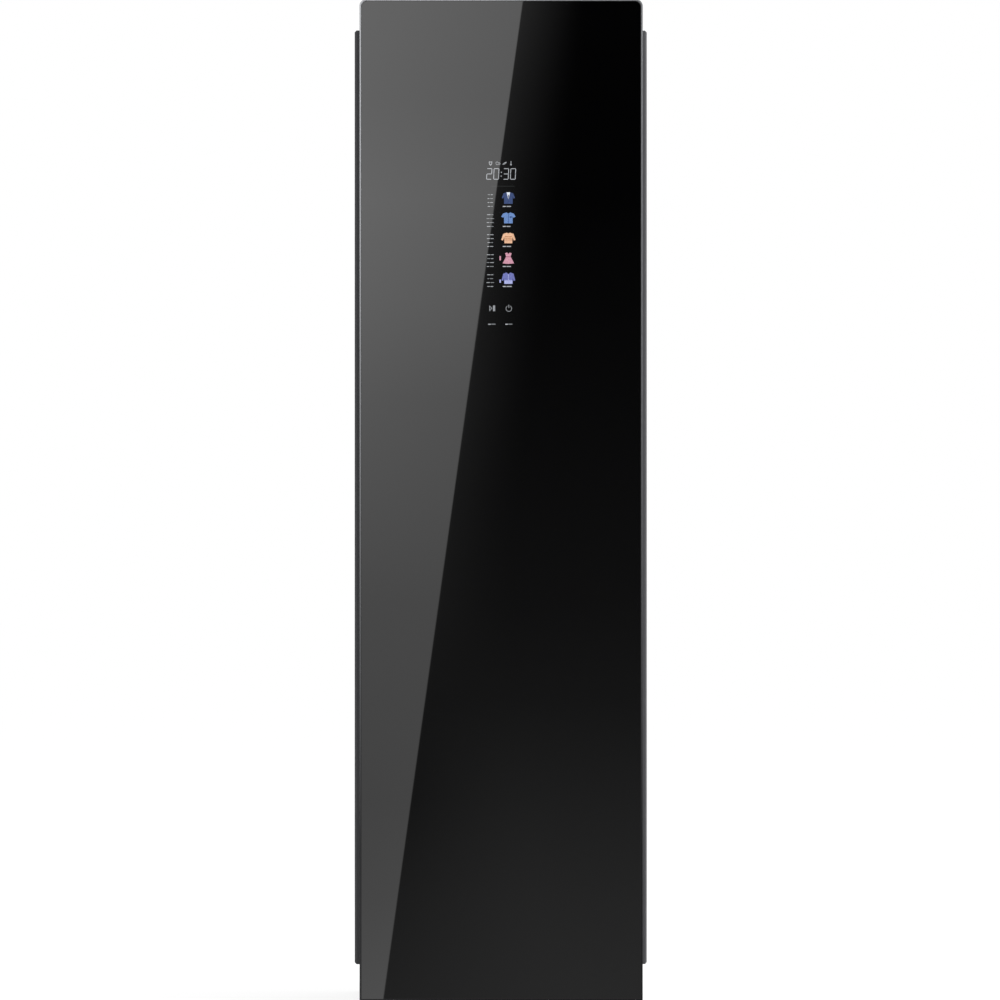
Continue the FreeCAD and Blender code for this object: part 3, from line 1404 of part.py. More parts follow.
# ---- All pieces by name -----------------------------------------------------------------------
def all_pieces():
    pieces = {
        "base_pan": base_pan(),
        "side_wall_right": side_wall(),
        "side_wall_left": mirrored(side_wall()),
        "top_panel": top_panel(),
        "rear_panel": rear_panel(),
        "rear_cover": rear_cover(),
        "front_frame": front_frame(),
        "side_cladding_right": side_cladding(),
        "side_cladding_left": mirrored(side_cladding()),
        "chamber_liner": chamber_liner(),
        "chamber_insulation": insulation(),
        "chamber_lamp": chamber_lamp(),
        "shelf": shelf(),
        "shaker_base": shaker_base(),
        "shaker_motor": shaker_motor(),
        "shaker_crank": shaker_crank(),
        "shaker_carriage": shaker_carriage(),
        "hanger_bar": hanger_bar(),
        "tank_bay": tank_bay(),
        "supply_tank": tank_body(-1),
        "supply_tank_lid": tank_cap(-1),
        "drain_tank": tank_body(1),
        "drain_tank_lid": tank_cap(1),
        "air_duct": air_duct(),
        "evaporator": exchanger(evaporator_y),
        "condenser": exchanger(condenser_y),
        "lint_filter": lint_filter(),
        "fan_scroll": fan_scroll(),
        "fan_wheel": fan_wheel(),
        "fan_motor": fan_motor(),
        "outlet_grille": outlet_grille(),
        "compressor": compressor(),
        "compressor_mounts": compressor_mounts(),
        "refrigerant_pipes": refrigerant_pipes(),
        "steam_boiler": steam_boiler(),
        "steam_hose": steam_hose(),
        "steam_nozzle": steam_nozzle(),
        "water_pumps": water_pumps(),
        "water_hoses": water_hoses(),
        "control_box": control_box(),
        "power_inlet": power_inlet(),
        "top_hinge": top_hinge(),
        "bottom_hinge": bottom_hinge(),
        "hinge_cover": hinge_cover(),
        "door_glass": door_glass(),
        "door_trim": door_trim(),
        "door_chassis": door_chassis(),
        "door_grip": door_grip(),
        "door_foam": door_foam(),
        "door_liner": door_liner(),
        "door_gasket": door_gasket(),
        "display_module": display_module(),
        "door_bushes": door_bushes(),
        "press_board": press_board(),
        "press_plate": press_plate(),
        "aroma_cartridge": aroma_cartridge(),
    }
    for place, name in zip(foot_places, ("front_left", "rear_left", "front_right", "rear_right")):
        pieces["foot_" + name] = levelling_foot(place)
    return pieces


os.makedirs("parts", exist_ok=True)
for node, shape in all_pieces().items():
    shape.exportStep(os.path.join("parts", node + ".step"))
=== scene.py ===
"""Clothes care steam cabinet: finishes, fabric, display and small fittings over the frame."""

import json
from math import atan2, cos, hypot, pi, radians, sin
from random import Random

import bmesh
import bpy
from bpy.props import FloatProperty, FloatVectorProperty, PointerProperty
from bpy.types import Operator, Panel, PropertyGroup
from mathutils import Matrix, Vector
from mathutils.bvhtree import BVHTree


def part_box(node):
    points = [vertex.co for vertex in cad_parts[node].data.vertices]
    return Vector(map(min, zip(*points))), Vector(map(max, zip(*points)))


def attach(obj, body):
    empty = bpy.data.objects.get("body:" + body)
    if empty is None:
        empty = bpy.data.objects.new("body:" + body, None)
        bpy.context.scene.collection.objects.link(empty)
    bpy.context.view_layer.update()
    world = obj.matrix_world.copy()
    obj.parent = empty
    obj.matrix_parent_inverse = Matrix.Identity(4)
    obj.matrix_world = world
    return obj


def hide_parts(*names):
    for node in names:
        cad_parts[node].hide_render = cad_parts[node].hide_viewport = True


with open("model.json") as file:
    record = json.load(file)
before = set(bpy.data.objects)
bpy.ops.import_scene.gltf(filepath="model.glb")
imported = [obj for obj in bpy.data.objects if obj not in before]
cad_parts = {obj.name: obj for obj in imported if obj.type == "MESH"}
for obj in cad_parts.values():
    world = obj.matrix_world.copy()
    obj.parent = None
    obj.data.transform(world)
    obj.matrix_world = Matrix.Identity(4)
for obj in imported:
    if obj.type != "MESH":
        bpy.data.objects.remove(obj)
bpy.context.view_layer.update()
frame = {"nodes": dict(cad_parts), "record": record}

bl_info = {
    "name": "Clothes Care Cabinet",
    "version": (1, 0, 0),
    "blender": (4, 5, 0),
    "location": "View3D > Sidebar > Cabinet",
    "description": "Dresses the packed frame of a clothes care steam cabinet",
    "category": "Object",
}

MM = 0.001
WHITE = (1, 1, 1, 1)
UP = Vector((0, 0, 1))
REARWARD = Vector((0, 1, 0))
nodes = frame["nodes"]
slot_of_node = {row["node"]: row["material_slot"] for row in frame["record"]["subparts"]}
own_colour = {row["slot"]: tuple(row["base_color"][:3]) for row in frame["record"]["materials"]}
finishes = {}


def seen(red, green, blue):
    """The linear colour that shows as these display values from 0 to 255."""
    def linear(value):
        value /= 255
        return value / 12.92 if value <= 0.04045 else ((value + 0.055) / 1.055) ** 2.4
    return tuple(linear(value) for value in (red, green, blue))


def set_up(target, **values):
    """Sets values of a thing, and gives it back."""
    for name, value in values.items():
        setattr(target, name, value)
    return target


def scaled(colour, factor):
    """A colour made lighter or darker by a factor, as four numbers."""
    return tuple(min(1.0, part * factor) for part in colour[:3]) + (1.0,)


# ---- Values that a user would change ----
def swatch(label, default):
    return FloatVectorProperty(name=label, description=f"Colour of the {label.lower()}",
                               subtype="COLOR", size=3, min=0, max=1, default=default)


def measure(label, description, millimetres):
    return FloatProperty(name=label, description=description, default=millimetres * MM,
                         min=0, unit="LENGTH", precision=5)


def setting(label, description, default, unit="NONE", low=0.0):
    return FloatProperty(name=label, description=description, default=default, unit=unit, min=low)


class CabinetColours(PropertyGroup):
    """Colours of the finishes that show, named by slot where they fill one."""

    wall_steel: swatch("Wall paint", seen(66, 67, 70))
    frame_plastic: swatch("Front frame", seen(82, 83, 86))
    cladding_plastic: swatch("Side cladding", seen(75, 75, 77))
    liner_plastic: swatch("Chamber liner", seen(214, 216, 219))
    door_liner: swatch("Door liner", seen(172, 174, 178))
    inner_plastic: swatch("Shelf and press plate", seen(204, 206, 210))
    door_plastic: swatch("Door shell", seen(86, 87, 90))
    black_glass: swatch("Door glass", (0.0005, 0.0005, 0.0006))
    edge_aluminium: swatch("Door trim", seen(136, 137, 140))
    # Painted shade: the dark colour that the door trim fades to at its foot
    trim_foot: swatch("Door trim foot", seen(27, 27, 29))
    seal_rubber: swatch("Door seal", own_colour["seal_rubber"])
    clear_plastic: swatch("Tank plastic", own_colour["clear_plastic"])
    tank_lid_plastic: swatch("Tank lid", own_colour["tank_lid_plastic"])
    board_fabric: swatch("Pressing board fabric", own_colour["board_fabric"])


class CabinetSizes(PropertyGroup):
    """Sizes of the details that only show."""

    glass_recess: measure("Glass recess", "How far the glass lies behind the trim's lip", 0.4)
    glass_edge: measure("Glass edge", "Width of the ground edge round the glass", 0.7)
    sign_depth: measure("Sign depth", "Thickness of a printed sign in the glass", 0.4)
    figure_height: measure("Clock figure height", "Height of a clock figure", 21.2)
    figure_width: measure("Clock figure width", "Width of a clock figure", 10.4)
    figure_stroke: measure("Clock figure stroke", "Width of a bar of a figure", 1.2)
    garment_size: measure("Garment sign size", "Width of a garment sign", 27.0)
    garment_pitch: measure("Garment pitch", "From one garment sign to the next", 37.8)
    pad_corner: measure("Pad corner", "Corner radius of the pressing pad", 9.0)
    pad_channel: measure("Pad channel", "From the pad's edge to its sewn channel", 13.0)
    cloth_pitch: measure("Cloth pitch", "Opening of the lint filter's wire cloth", 2.4)
    cloth_wire: measure("Cloth wire", "Thickness of that wire", 0.3)
    soft_edge: measure("Moulded edge", "Rounding of moulded plastic edges", 0.7)
    trim_edge: measure("Trim edge", "Rounding of the door trim's edges", 0.9)
    sheet_edge: measure("Sheet edge", "Rounding of cut and folded sheet edges", 0.25)


class StudioValues(PropertyGroup):
    """Camera and light."""

    distance: setting("Camera distance", "From the camera to the door", 20.0, "LENGTH", 1)
    view_width: setting("View width", "What the picture spans at the door", 1.8885, "LENGTH", 0.1)
    aim_side: setting("Aim sideways", "Picture's middle off the midline", -0.0022, "LENGTH", -10)
    stand_side: setting("Stand sideways", "Camera's place off the midline", -0.2, "LENGTH", -10)
    aim_height: setting("Aim height", "Height of the picture's middle", 0.954, "LENGTH")
    ambient: setting("Ambient light", "Strength of the light from all round", 0.55)
    key: setting("Key light", "Power of the large soft lamp on the right", 430, "POWER")
    fill: setting("Fill light", "Power of the soft lamps at the left and rear", 25, "POWER")


# ---- Shader helpers ----
def overloaded(operation, reflected=False):
    """A method that adds a Math node for one of Python's operators."""
    def method(self, other=0.0):
        first, second = (other, self) if reflected else (self, other)
        return self.board.node("ShaderNodeMath", {0: first, 1: second}, operation=operation)
    return method


class Wire:
    """An output socket on which Python's arithmetic adds Math nodes."""

    __add__ = __radd__ = overloaded("ADD")
    __sub__ = overloaded("SUBTRACT")
    __rsub__ = overloaded("SUBTRACT", reflected=True)
    __mul__ = __rmul__ = overloaded("MULTIPLY")
    __pow__ = overloaded("POWER")
    __abs__ = overloaded("ABSOLUTE")
    __gt__ = overloaded("GREATER_THAN")
    or_more = overloaded("MAXIMUM")

    def __init__(self, board, socket):
        self.board = board
        self.socket = socket


class Board:
    """A node tree being wired."""

    def __init__(self, tree):
        self.tree = tree
        self.tree.nodes.clear()

    def node(self, kind, inputs=None, output=0, **settings):
        """Adds a node: its settings first, then a value or a Wire for each of its inputs."""
        made = set_up(self.tree.nodes.new(kind), **settings)
        for key, value in (inputs or {}).items():
            if isinstance(value, Wire):
                self.tree.links.new(value.socket, made.inputs[key])
            else:
                made.inputs[key].default_value = value
        return Wire(self, made.outputs[output]) if made.outputs else made

    def mix(self, share, first, second, blend="MIX"):
        """Blends two colours by a share."""
        return self.node("ShaderNodeMix", {0: share, 6: first, 7: second}, 2, data_type="RGBA",
                         blend_type=blend)

    def greys(self, value, *levels):
        """Greys at even steps of a value from 0 to 1."""
        ramp = self.node("ShaderNodeValToRGB", {0: value})
        stops = ramp.socket.node.color_ramp.elements
        while len(stops) < len(levels):
            stops.new(1.0)
        for i, (stop, level) in enumerate(zip(stops, levels)):
            stop.position = i / (len(levels) - 1)
            stop.color = (level, level, level, 1)
        return ramp

    def spread(self, value, low, high, to_low=0.0, to_high=1.0):
        """Maps a value's range to another, and holds it there."""
        return self.node("ShaderNodeMapRange",
                         {0: value, 1: low, 2: high, 3: to_low, 4: to_high}, clamp=True)


class Finish(Board):
    """A material being made, with the patterns that the finishes share."""

    def __init__(self, name, colour):
        self.colour = colour
        self.material = bpy.data.materials.new(name)
        self.material.use_nodes = True
        super().__init__(self.material.node_tree)
        self.place = self.node("ShaderNodeTexCoord", output="Object")

    def noise(self, scale, detail=3.0, stretch=None):
        place = self.place
        if stretch:
            place = self.node("ShaderNodeMapping", {"Vector": place, "Scale": stretch})
        return self.node("ShaderNodeTexNoise", {"Vector": place, "Scale": scale,
                                                "Detail": detail, "Roughness": 0.55})

    def cells(self, scale, output="Distance"):
        return self.node("ShaderNodeTexVoronoi", {"Vector": self.place, "Scale": scale}, output)

    def waves(self, direction, scale, **others):
        return self.node("ShaderNodeTexWave", {"Vector": self.place, "Scale": scale, **others},
                         wave_type="BANDS", bands_direction=direction)

    def bump(self, height, depth, strength=1.0):
        return self.node("ShaderNodeBump", {"Height": height, "Distance": depth * MM,
                                            "Strength": strength})

    def times(self, factor):
        return scaled(self.colour, factor)

    def tinted(self, share, amount):
        """The colour, darker to lighter by an amount as the share goes from 0 to 1."""
        return self.mix(share, self.times(1 - amount), self.times(1 + amount))

    def surface(self, base, roughness, normal=None, **others):
        """Ends in a Principled shader; other names take spaces for underscores."""
        inputs = {"Base Color": base, "Roughness": roughness}
        inputs.update((key.replace("_", " "), value) for key, value in others.items())
        if normal:
            inputs["Normal"] = normal
        shader = self.node("ShaderNodeBsdfPrincipled", inputs)
        self.node("ShaderNodeOutputMaterial", {"Surface": shader})
        return self.material


# ---- Finishes ----
def moulded(finish, roughness=0.5, grain=1500, depth=0.05, gloss=0.5):
    """Moulded plastic: fine grain, slow colour drift and rubbed patches."""
    rubbed = finish.spread(finish.noise(9, 5), 0.35, 0.7)
    grained = finish.noise(grain, 2) + finish.cells(grain * 0.6) * 0.6
    return finish.surface(finish.tinted(finish.noise(4, 2), 0.04),
                          roughness + (rubbed - 0.5) * 0.05,
                          finish.bump(grained, depth, 0.6), Specular_IOR_Level=gloss)


def painted(finish, roughness=0.38, peel=420):
    """Powder paint: orange peel, a few specks and slow gloss changes."""
    specks = finish.spread(finish.cells(900), 0.03, 0.08)
    patches = finish.noise(6, 4)
    return finish.surface(
        finish.mix(specks, finish.times(1.5), finish.tinted(patches, 0.06)),
        roughness + (patches - 0.5) * 0.06, finish.bump(finish.noise(peel, 2), 0.06, 0.7))


def brushed(finish, roughness, along):
    """Drawn or brushed metal: long fine scratches one way and a faint mottle."""
    lines = finish.noise(1, 5, along)
    mottled = finish.noise(22, 4)
    return finish.surface(finish.tinted(mottled, 0.07),
                          roughness + (lines - 0.5) * 0.22 + (mottled - 0.5) * 0.1,
                          finish.bump(lines, 0.02, 0.5), Metallic=1)


def anodised(finish, foot_shade_colour):
    """Anodised edge strip: drawn lines, and painted shade that darkens its colour towards the
    foot.
    """
    height = finish.node("ShaderNodeSeparateXYZ", {0: finish.place}, "Z")
    lines = finish.noise(1, 5, (900, 900, 5))
    foot = finish.mix(lines, scaled(foot_shade_colour, 0.9), scaled(foot_shade_colour, 1.1))
    # Painted shade: below 1.8 m the colour fades to the dark foot colour, reached at 0.3 m,
    # standing in for light falling from above
    return finish.surface(
        finish.mix(finish.spread(height, 0.3, 1.8), foot, finish.tinted(lines, 0.1)),
        0.2 + (lines - 0.5) * 0.08, finish.bump(lines, 0.02, 0.5), Metallic=0.45)


def spangled(finish):
    """Zinc coating: crystal patches of different brightness and polish."""
    patch = finish.node("ShaderNodeSeparateColor", {"Color": finish.cells(170, "Color")})
    haze = finish.noise(12, 5)
    return finish.surface(
        finish.mix(haze, finish.tinted(patch, 0.12), finish.times(0.82)),
        0.3 + patch * 0.16 + haze * 0.1, finish.bump(haze, 0.04, 0.4), Metallic=1)


def cast(finish, roughness=0.5):
    """Sand-like cast surface with pits."""
    sand = finish.noise(700, 4)
    pits = finish.spread(finish.cells(260), 0.05, 0.3)
    return finish.surface(finish.tinted(finish.noise(30, 5), 0.1),
                          roughness + (sand - 0.5) * 0.2,
                          finish.bump(sand + pits * 0.8, 0.12, 0.7), Metallic=1)


def tarnished(finish, tint=(0.24, 0.11, 0.07, 1)):
    """Drawn copper with brown heat tint and long drawing lines."""
    heat = finish.spread(finish.noise(28, 5), 0.42, 0.68)
    lines = finish.noise(1, 4, (900, 900, 12))
    return finish.surface(finish.mix(heat, finish.times(1), tint), 0.26 + heat * 0.2,
                          finish.bump(lines, 0.03, 0.4), Metallic=1)


def rubbery(finish, roughness=0.7):
    """Soft rubber: dull, with patches of dust."""
    dust = finish.spread(finish.noise(60, 6), 0.5, 0.8)
    return finish.surface(finish.mix(dust * 0.3, finish.times(1), finish.times(1.5)),
                          roughness + dust * 0.15, finish.bump(finish.noise(900), 0.06, 0.6))


def felted(finish):
    """Pressed fibre felt: tangled hairs in slightly different greys."""
    tangle = (finish.noise(1, 6, (260, 900, 420)) * 0.6
              + finish.noise(1, 6, (900, 300, 240)) * 0.4)
    return finish.surface(finish.tinted(tangle, 0.35), 0.95,
                          finish.bump(tangle, 0.8), Sheen_Weight=0.4)


def foamed(finish, aged=(0.86, 0.74, 0.5)):
    """Cut foam: open cells of mixed size, yellowed in places."""
    open_cells = finish.cells(620) * 0.7 + finish.cells(240)
    return finish.surface(finish.mix(finish.noise(5), finish.times(1), scaled(aged, 0.95)), 0.9,
                          finish.bump(open_cells, 0.6))


def black_glass(finish):
    """Opaque black glass, polished, with the faintest wipe marks."""
    wiped = finish.spread(finish.noise(1, 5, (5, 5, 1.6)), 0.45, 0.8)
    return finish.surface(finish.tinted(wiped, 0.2), 0.012 + wiped * 0.012, IOR=1.62)


def clear_moulded(finish, alpha):
    """See-through tank plastic with a mist of fine scratches."""
    flow = finish.noise(1, 4, (8, 8, 30))
    scuffs = finish.spread(finish.noise(1, 6, (50, 50, 420)), 0.6, 0.85)
    return finish.surface(finish.tinted(flow, 0.06), 0.12 + scuffs * 0.1,
                          finish.bump(flow, 0.2, 0.3), Alpha=alpha + scuffs * 0.03, IOR=1.49)


def frosted_lens(finish):
    """Frosted lamp lens with fine lengthwise flutes, glowing softly."""
    flutes = finish.waves("X", 90)
    glow = finish.tinted(flutes, 0.05)
    return finish.surface(glow, 0.35, finish.bump(flutes, 0.3, 0.5),
                          Emission_Color=glow, Emission_Strength=0.9)


def woven(finish, threads=620):
    """Plain weave of warp and weft, with slubs and a soft sheen."""
    warp, weft = (finish.waves(direction, threads / 2, **{"Distortion": 0.4, "Detail": 1,
                                                          "Detail Scale": 4})
                  for direction in "XZ")
    slubs = finish.noise(1, 4, (40, 40, 500))
    cloth = warp * weft + (1 - warp) * (1 - weft)
    return finish.surface(finish.tinted(cloth * 0.5 + slubs * 0.5, 0.28), 0.85,
                          finish.bump(cloth + slubs * 0.4, 0.25), Sheen_Weight=0.25)


def lit_ink(finish, strength=1, mottle=0.1, scale=900):
    """A sign lit from behind: a slightly uneven glow under the glass's gloss."""
    glow = finish.tinted(finish.spread(finish.noise(scale, 2), 0.3, 0.7), mottle)
    return finish.surface(finish.times(0.05), 0.015, Emission_Color=glow,
                          Emission_Strength=strength, IOR=1.62)


def finishes_by_slot(colours):
    """A material for each slot, in a set colour or else the record's own."""
    rows = (
        ("wall_steel", painted, "wall_paint"),
        ("frame_plastic", moulded, "frame_moulding", 0.5, 1500, 0.05, 0.2),
        ("liner_plastic", moulded, "liner_moulding", 0.34, 900, 0.03),
        ("cladding_plastic", moulded, "cladding_moulding", 0.5, 1200, 0.02, 0.1),
        ("black_glass", black_glass, "door_glass_black"),
        # The door trim's foot colour is painted shade
        ("edge_aluminium", anodised, "trim_anodised", colours.trim_foot),
        ("door_plastic", moulded, "door_moulding", 0.46),
        ("inner_plastic", moulded, "inner_moulding", 0.36, 1000, 0.03),
        ("seal_rubber", rubbery, "seal_rubber_skin"),
        ("clear_plastic", clear_moulded, "tank_clear", 0.5),
        ("tank_lid_plastic", moulded, "tank_lid_moulding", 0.35),
        ("board_fabric", woven, "board_weave"),
        ("zinc_steel", spangled, "zinc_plate"),
        ("felt", felted, "felt_pad"),
        ("foam", foamed, "door_foam_cells"),
        ("display_black", moulded, "display_case", 0.4),
        ("bearing_plastic", moulded, "bearing_nylon", 0.42),
        ("lamp_lens", frosted_lens, "lamp_lens_frosted"),
        ("duct_plastic", moulded, "duct_moulding", 0.52),
        ("fin_aluminium", brushed, "fin_stock", 0.3, (30, 30, 700)),
        ("fan_plastic", moulded, "fan_moulding", 0.45),
        ("motor_grey", cast, "motor_casting"),
        ("compressor_black", painted, "compressor_paint", 0.25, 300),
        ("mount_rubber", rubbery, "mount_rubber_block"),
        ("copper", tarnished, "copper_tube"),
        ("boiler_aluminium", cast, "boiler_casting", 0.42),
        ("hose_silicone", rubbery, "hose_silicone_skin", 0.5),
        ("box_plastic", moulded, "box_moulding", 0.45),
        ("hinge_steel", brushed, "hinge_steel_satin", 0.3, (500, 12, 500)),
        ("bar_metal", brushed, "bar_satin", 0.24, (5, 900, 900)),
        ("foot_plastic", moulded, "foot_moulding"),
    )
    return {slot: maker(Finish(name, getattr(colours, slot, own_colour[slot])), *others)
            for slot, maker, name, *others in rows}


# ---- Outlines ----
def round_corners(low, high, radii, steps=10):
    """A rounded rectangle's points; radii start at low, next the one beside it."""
    corners = ((low[0], low[1], 1, 1), (high[0], low[1], -1, 1),
               (high[0], high[1], -1, -1), (low[0], high[1], 1, -1))
    points = []
    for number, ((x, z, right, up), radius) in enumerate(zip(corners, radii)):
        for step in range(steps + 1 if radius > 0 else 1):
            turn = pi * (1 + number / 2 + step / steps / 2)
            points.append((x + right * radius + radius * cos(turn),
                           z + up * radius + radius * sin(turn)))
    return points


def bar(x, z, width, height):
    """A plain bar with its lower left corner at x, z."""
    return [(x, z), (x + width, z), (x + width, z + height), (x, z + height)]


def round_points(x, z, radius, turns):
    return [(x + radius * cos(turn), z + radius * sin(turn)) for turn in turns]


def whole_turn(steps):
    return [2 * pi * i / steps for i in range(steps)]


def disc(x, z, radius):
    return round_points(x, z, radius, whole_turn(16))


def arc_band(x, z, radius, stroke, first, last, steps=12):
    """Part of a ring between two angles in degrees."""
    turns = [radians(first + (last - first) * i / steps) for i in range(steps + 1)]
    return round_points(x, z, radius, turns) + round_points(x, z, radius - stroke, turns)[::-1]


def both_halves(*half):
    """A symmetric outline in the unit square, from its right half in hundredths."""
    half = [(x / 100, z / 100) for x, z in half]
    return [(0.5 + x, z) for x, z in half] + [(0.5 - x, z) for x, z in half[::-1]]


def fitted(points, left, low, width, height):
    return [(left + x * width, low + z * height) for x, z in points]


# ---- Mesh helpers ----
def ring_at(shape, points, depth):
    """Corners at points in X and Z, at a depth in Y."""
    return [shape.verts.new((x, depth, z)) for x, z in points]


def skin(shape, rings, material=0, smooth=False, capped=False):
    """Joins each ring of corners to the next; a ring of one closes to a point."""
    for lower, upper in zip(rings, rings[1:]):
        count = max(len(lower), len(upper))
        for i in range(count):
            j = (i + 1) % count
            corners = (lower[i % len(lower)], lower[j % len(lower)],
                       upper[j % len(upper)], upper[i % len(upper)])
            face = shape.faces.new(tuple(dict.fromkeys(corners)))
            face.material_index = material
            face.smooth = smooth
    if capped:
        for ring in (rings[0][::-1], rings[-1]):
            shape.faces.new(ring).material_index = material


def raised(shape, points, back, front, material=0):
    """Adds a plate with that outline in X and Z, between two depths in Y."""
    skin(shape, [ring_at(shape, points, depth) for depth in (back, front)], material, capped=True)


def cuboid(shape, low, high):
    """Adds a box between two corners."""
    raised(shape, bar(low[0], low[2], high[0] - low[0], high[2] - low[2]), high[1], low[1])


def lathed(shape, profile, centre, axis, steps=20, material=0, lobes=4):
    """Turns (radius, height, lobe depth) points round an axis."""
    side = axis.orthogonal().normalized()
    other = axis.cross(side)
    rings = []
    for radius, height, *lobe in profile:
        middle = Vector(centre) + axis * height
        reaches = [(turn, radius * (1 + sum(lobe) * cos(lobes * turn)))
                   for turn in (whole_turn(steps) if radius else (0,))]
        rings.append([shape.verts.new(middle + side * (cos(turn) * reach)
                                      + other * (sin(turn) * reach))
                      for turn, reach in reaches])
    skin(shape, rings, material, smooth=steps > 8)


def tube_along(shape, points, radius, steps=8, closed=True):
    """Adds a tube along points that lie in one plane across Y."""
    last = len(points) - 1
    rings = []
    for i, point in enumerate(points):
        before = points[i - 1] if closed or i else point
        after = points[(i + 1) % len(points)] if closed or i < last else point
        out = (Vector(after) - Vector(before)).normalized().cross(REARWARD)
        rings.append([shape.verts.new(Vector(point) + (out * cos(turn)
                                                       + REARWARD * sin(turn)) * radius)
                      for turn in whole_turn(steps)])
    skin(shape, rings + rings[:1] if closed else rings, smooth=True, capped=not closed)


def rear_face(node, x, z):
    """Where a ray from behind at x, z first meets a node's own surface."""
    mesh = nodes[node].data
    tree = BVHTree.FromPolygons([corner.co for corner in mesh.vertices],
                                [tuple(face.vertices) for face in mesh.polygons])
    place = tree.ray_cast(Vector((x, 1.0, z)), -REARWARD)[0]
    if place is None:
        raise RuntimeError(f"nothing of {node} lies at {x}, {z}")
    return place


def added(name, data):
    """A new object of the scene that holds this data."""
    made = bpy.data.objects.new(name, data)
    bpy.context.scene.collection.objects.link(made)
    return made


def piece(name, shape, body, slot, materials=None, replaced=None, smooth=False):
    """Makes an object of a filled mesh, and sets it riding on a body."""
    bmesh.ops.recalc_face_normals(shape, faces=shape.faces)
    mesh = bpy.data.meshes.new(name)
    shape.to_mesh(mesh)
    shape.free()
    for material in materials or [finishes[slot]]:
        mesh.materials.append(material)
    if smooth:
        mesh.shade_smooth()
    made = added(name, mesh)
    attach(made, body)
    if replaced:
        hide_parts(replaced)
    return made


def seam_closer():
    """Node group that joins split seams and shades gentle bends smooth."""
    group = bpy.data.node_groups.new("closed_seams", "GeometryNodeTree")
    for way in ("INPUT", "OUTPUT"):
        group.interface.new_socket("Geometry", in_out=way, socket_type="NodeSocketGeometry")
    board = Board(group)
    seam, sharp_from = 0.002 * MM, radians(25)
    shape = board.node("NodeGroupInput")
    bare = board.node("GeometryNodeRemoveAttribute", {0: shape, "Name": "custom_normal"})
    closed = board.node("GeometryNodeMergeByDistance", {0: bare, "Distance": seam})
    round_all = board.node("GeometryNodeSetShadeSmooth", {0: closed, 2: True}, domain="FACE")
    sharp = board.node("GeometryNodeInputMeshEdgeAngle") > sharp_from
    hard = board.node("GeometryNodeSetShadeSmooth", {0: round_all, 1: sharp, 2: False},
                      domain="EDGE")
    board.node("NodeGroupOutput", {0: hard})
    return group


# ---- Operators ----
class CABINET_OT_finish_frame(Operator):
    """Give every part of the frame its finish and its softened edges"""

    bl_idname = "cabinet.finish_frame"
    bl_label = "Finish the Frame"

    def execute(self, context):
        sizes = context.scene.cabinet_sizes
        colours = context.scene.cabinet_colours
        finishes.update(finishes_by_slot(colours))
        door_liner = Finish("door_liner_moulding", colours.door_liner)
        finish_of_node = {"door_liner": moulded(door_liner, 0.36, 1000, 0.03)}
        edge_of_slot = dict.fromkeys(("wall_steel", "zinc_steel", "fin_aluminium", "hinge_steel"),
                                     sizes.sheet_edge)
        edge_of_slot["edge_aluminium"] = sizes.trim_edge
        flat_within, bevel_from = radians(0.5), radians(38)
        closer = seam_closer()
        for name, part in nodes.items():
            slot = slot_of_node[name]
            part.material_slots[0].material = finish_of_node.get(name, finishes[slot])
            part.modifiers.new("closed_seams", "NODES").node_group = closer
            set_up(part.modifiers.new("whole_faces", "DECIMATE"), decimate_type="DISSOLVE",
                   angle_limit=flat_within)
            set_up(part.modifiers.new("soft_edges", "BEVEL"), segments=2, limit_method="ANGLE",
                   width=edge_of_slot.get(slot, sizes.soft_edge), angle_limit=bevel_from,
                   harden_normals=True)
        return {"FINISHED"}


class CABINET_OT_glass_pane(Operator):
    """Make the door's black glass with its ground edge"""

    bl_idname = "cabinet.glass_pane"
    bl_label = "Glass Pane"

    def execute(self, context):
        sizes = context.scene.cabinet_sizes
        low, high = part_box("door_glass")
        front = low.y + sizes.glass_recess
        edge = sizes.glass_edge
        inside_corner = 10 * MM
        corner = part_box("door_trim")[1].z - high.z + inside_corner

        shape = bmesh.new()
        rings = []
        for inset, depth in ((0, high.y), (0, front + edge / 2), (edge, front)):
            radius = corner - inset
            points = round_corners((low.x + inset, low.z + inset),
                                   (high.x - inset, high.z - inset), (0, 0, radius, radius))
            rings.append(ring_at(shape, points, depth))
        skin(shape, rings, capped=True)
        piece("glass_pane", shape, "door", "black_glass", replaced="door_glass")
        return {"FINISHED"}


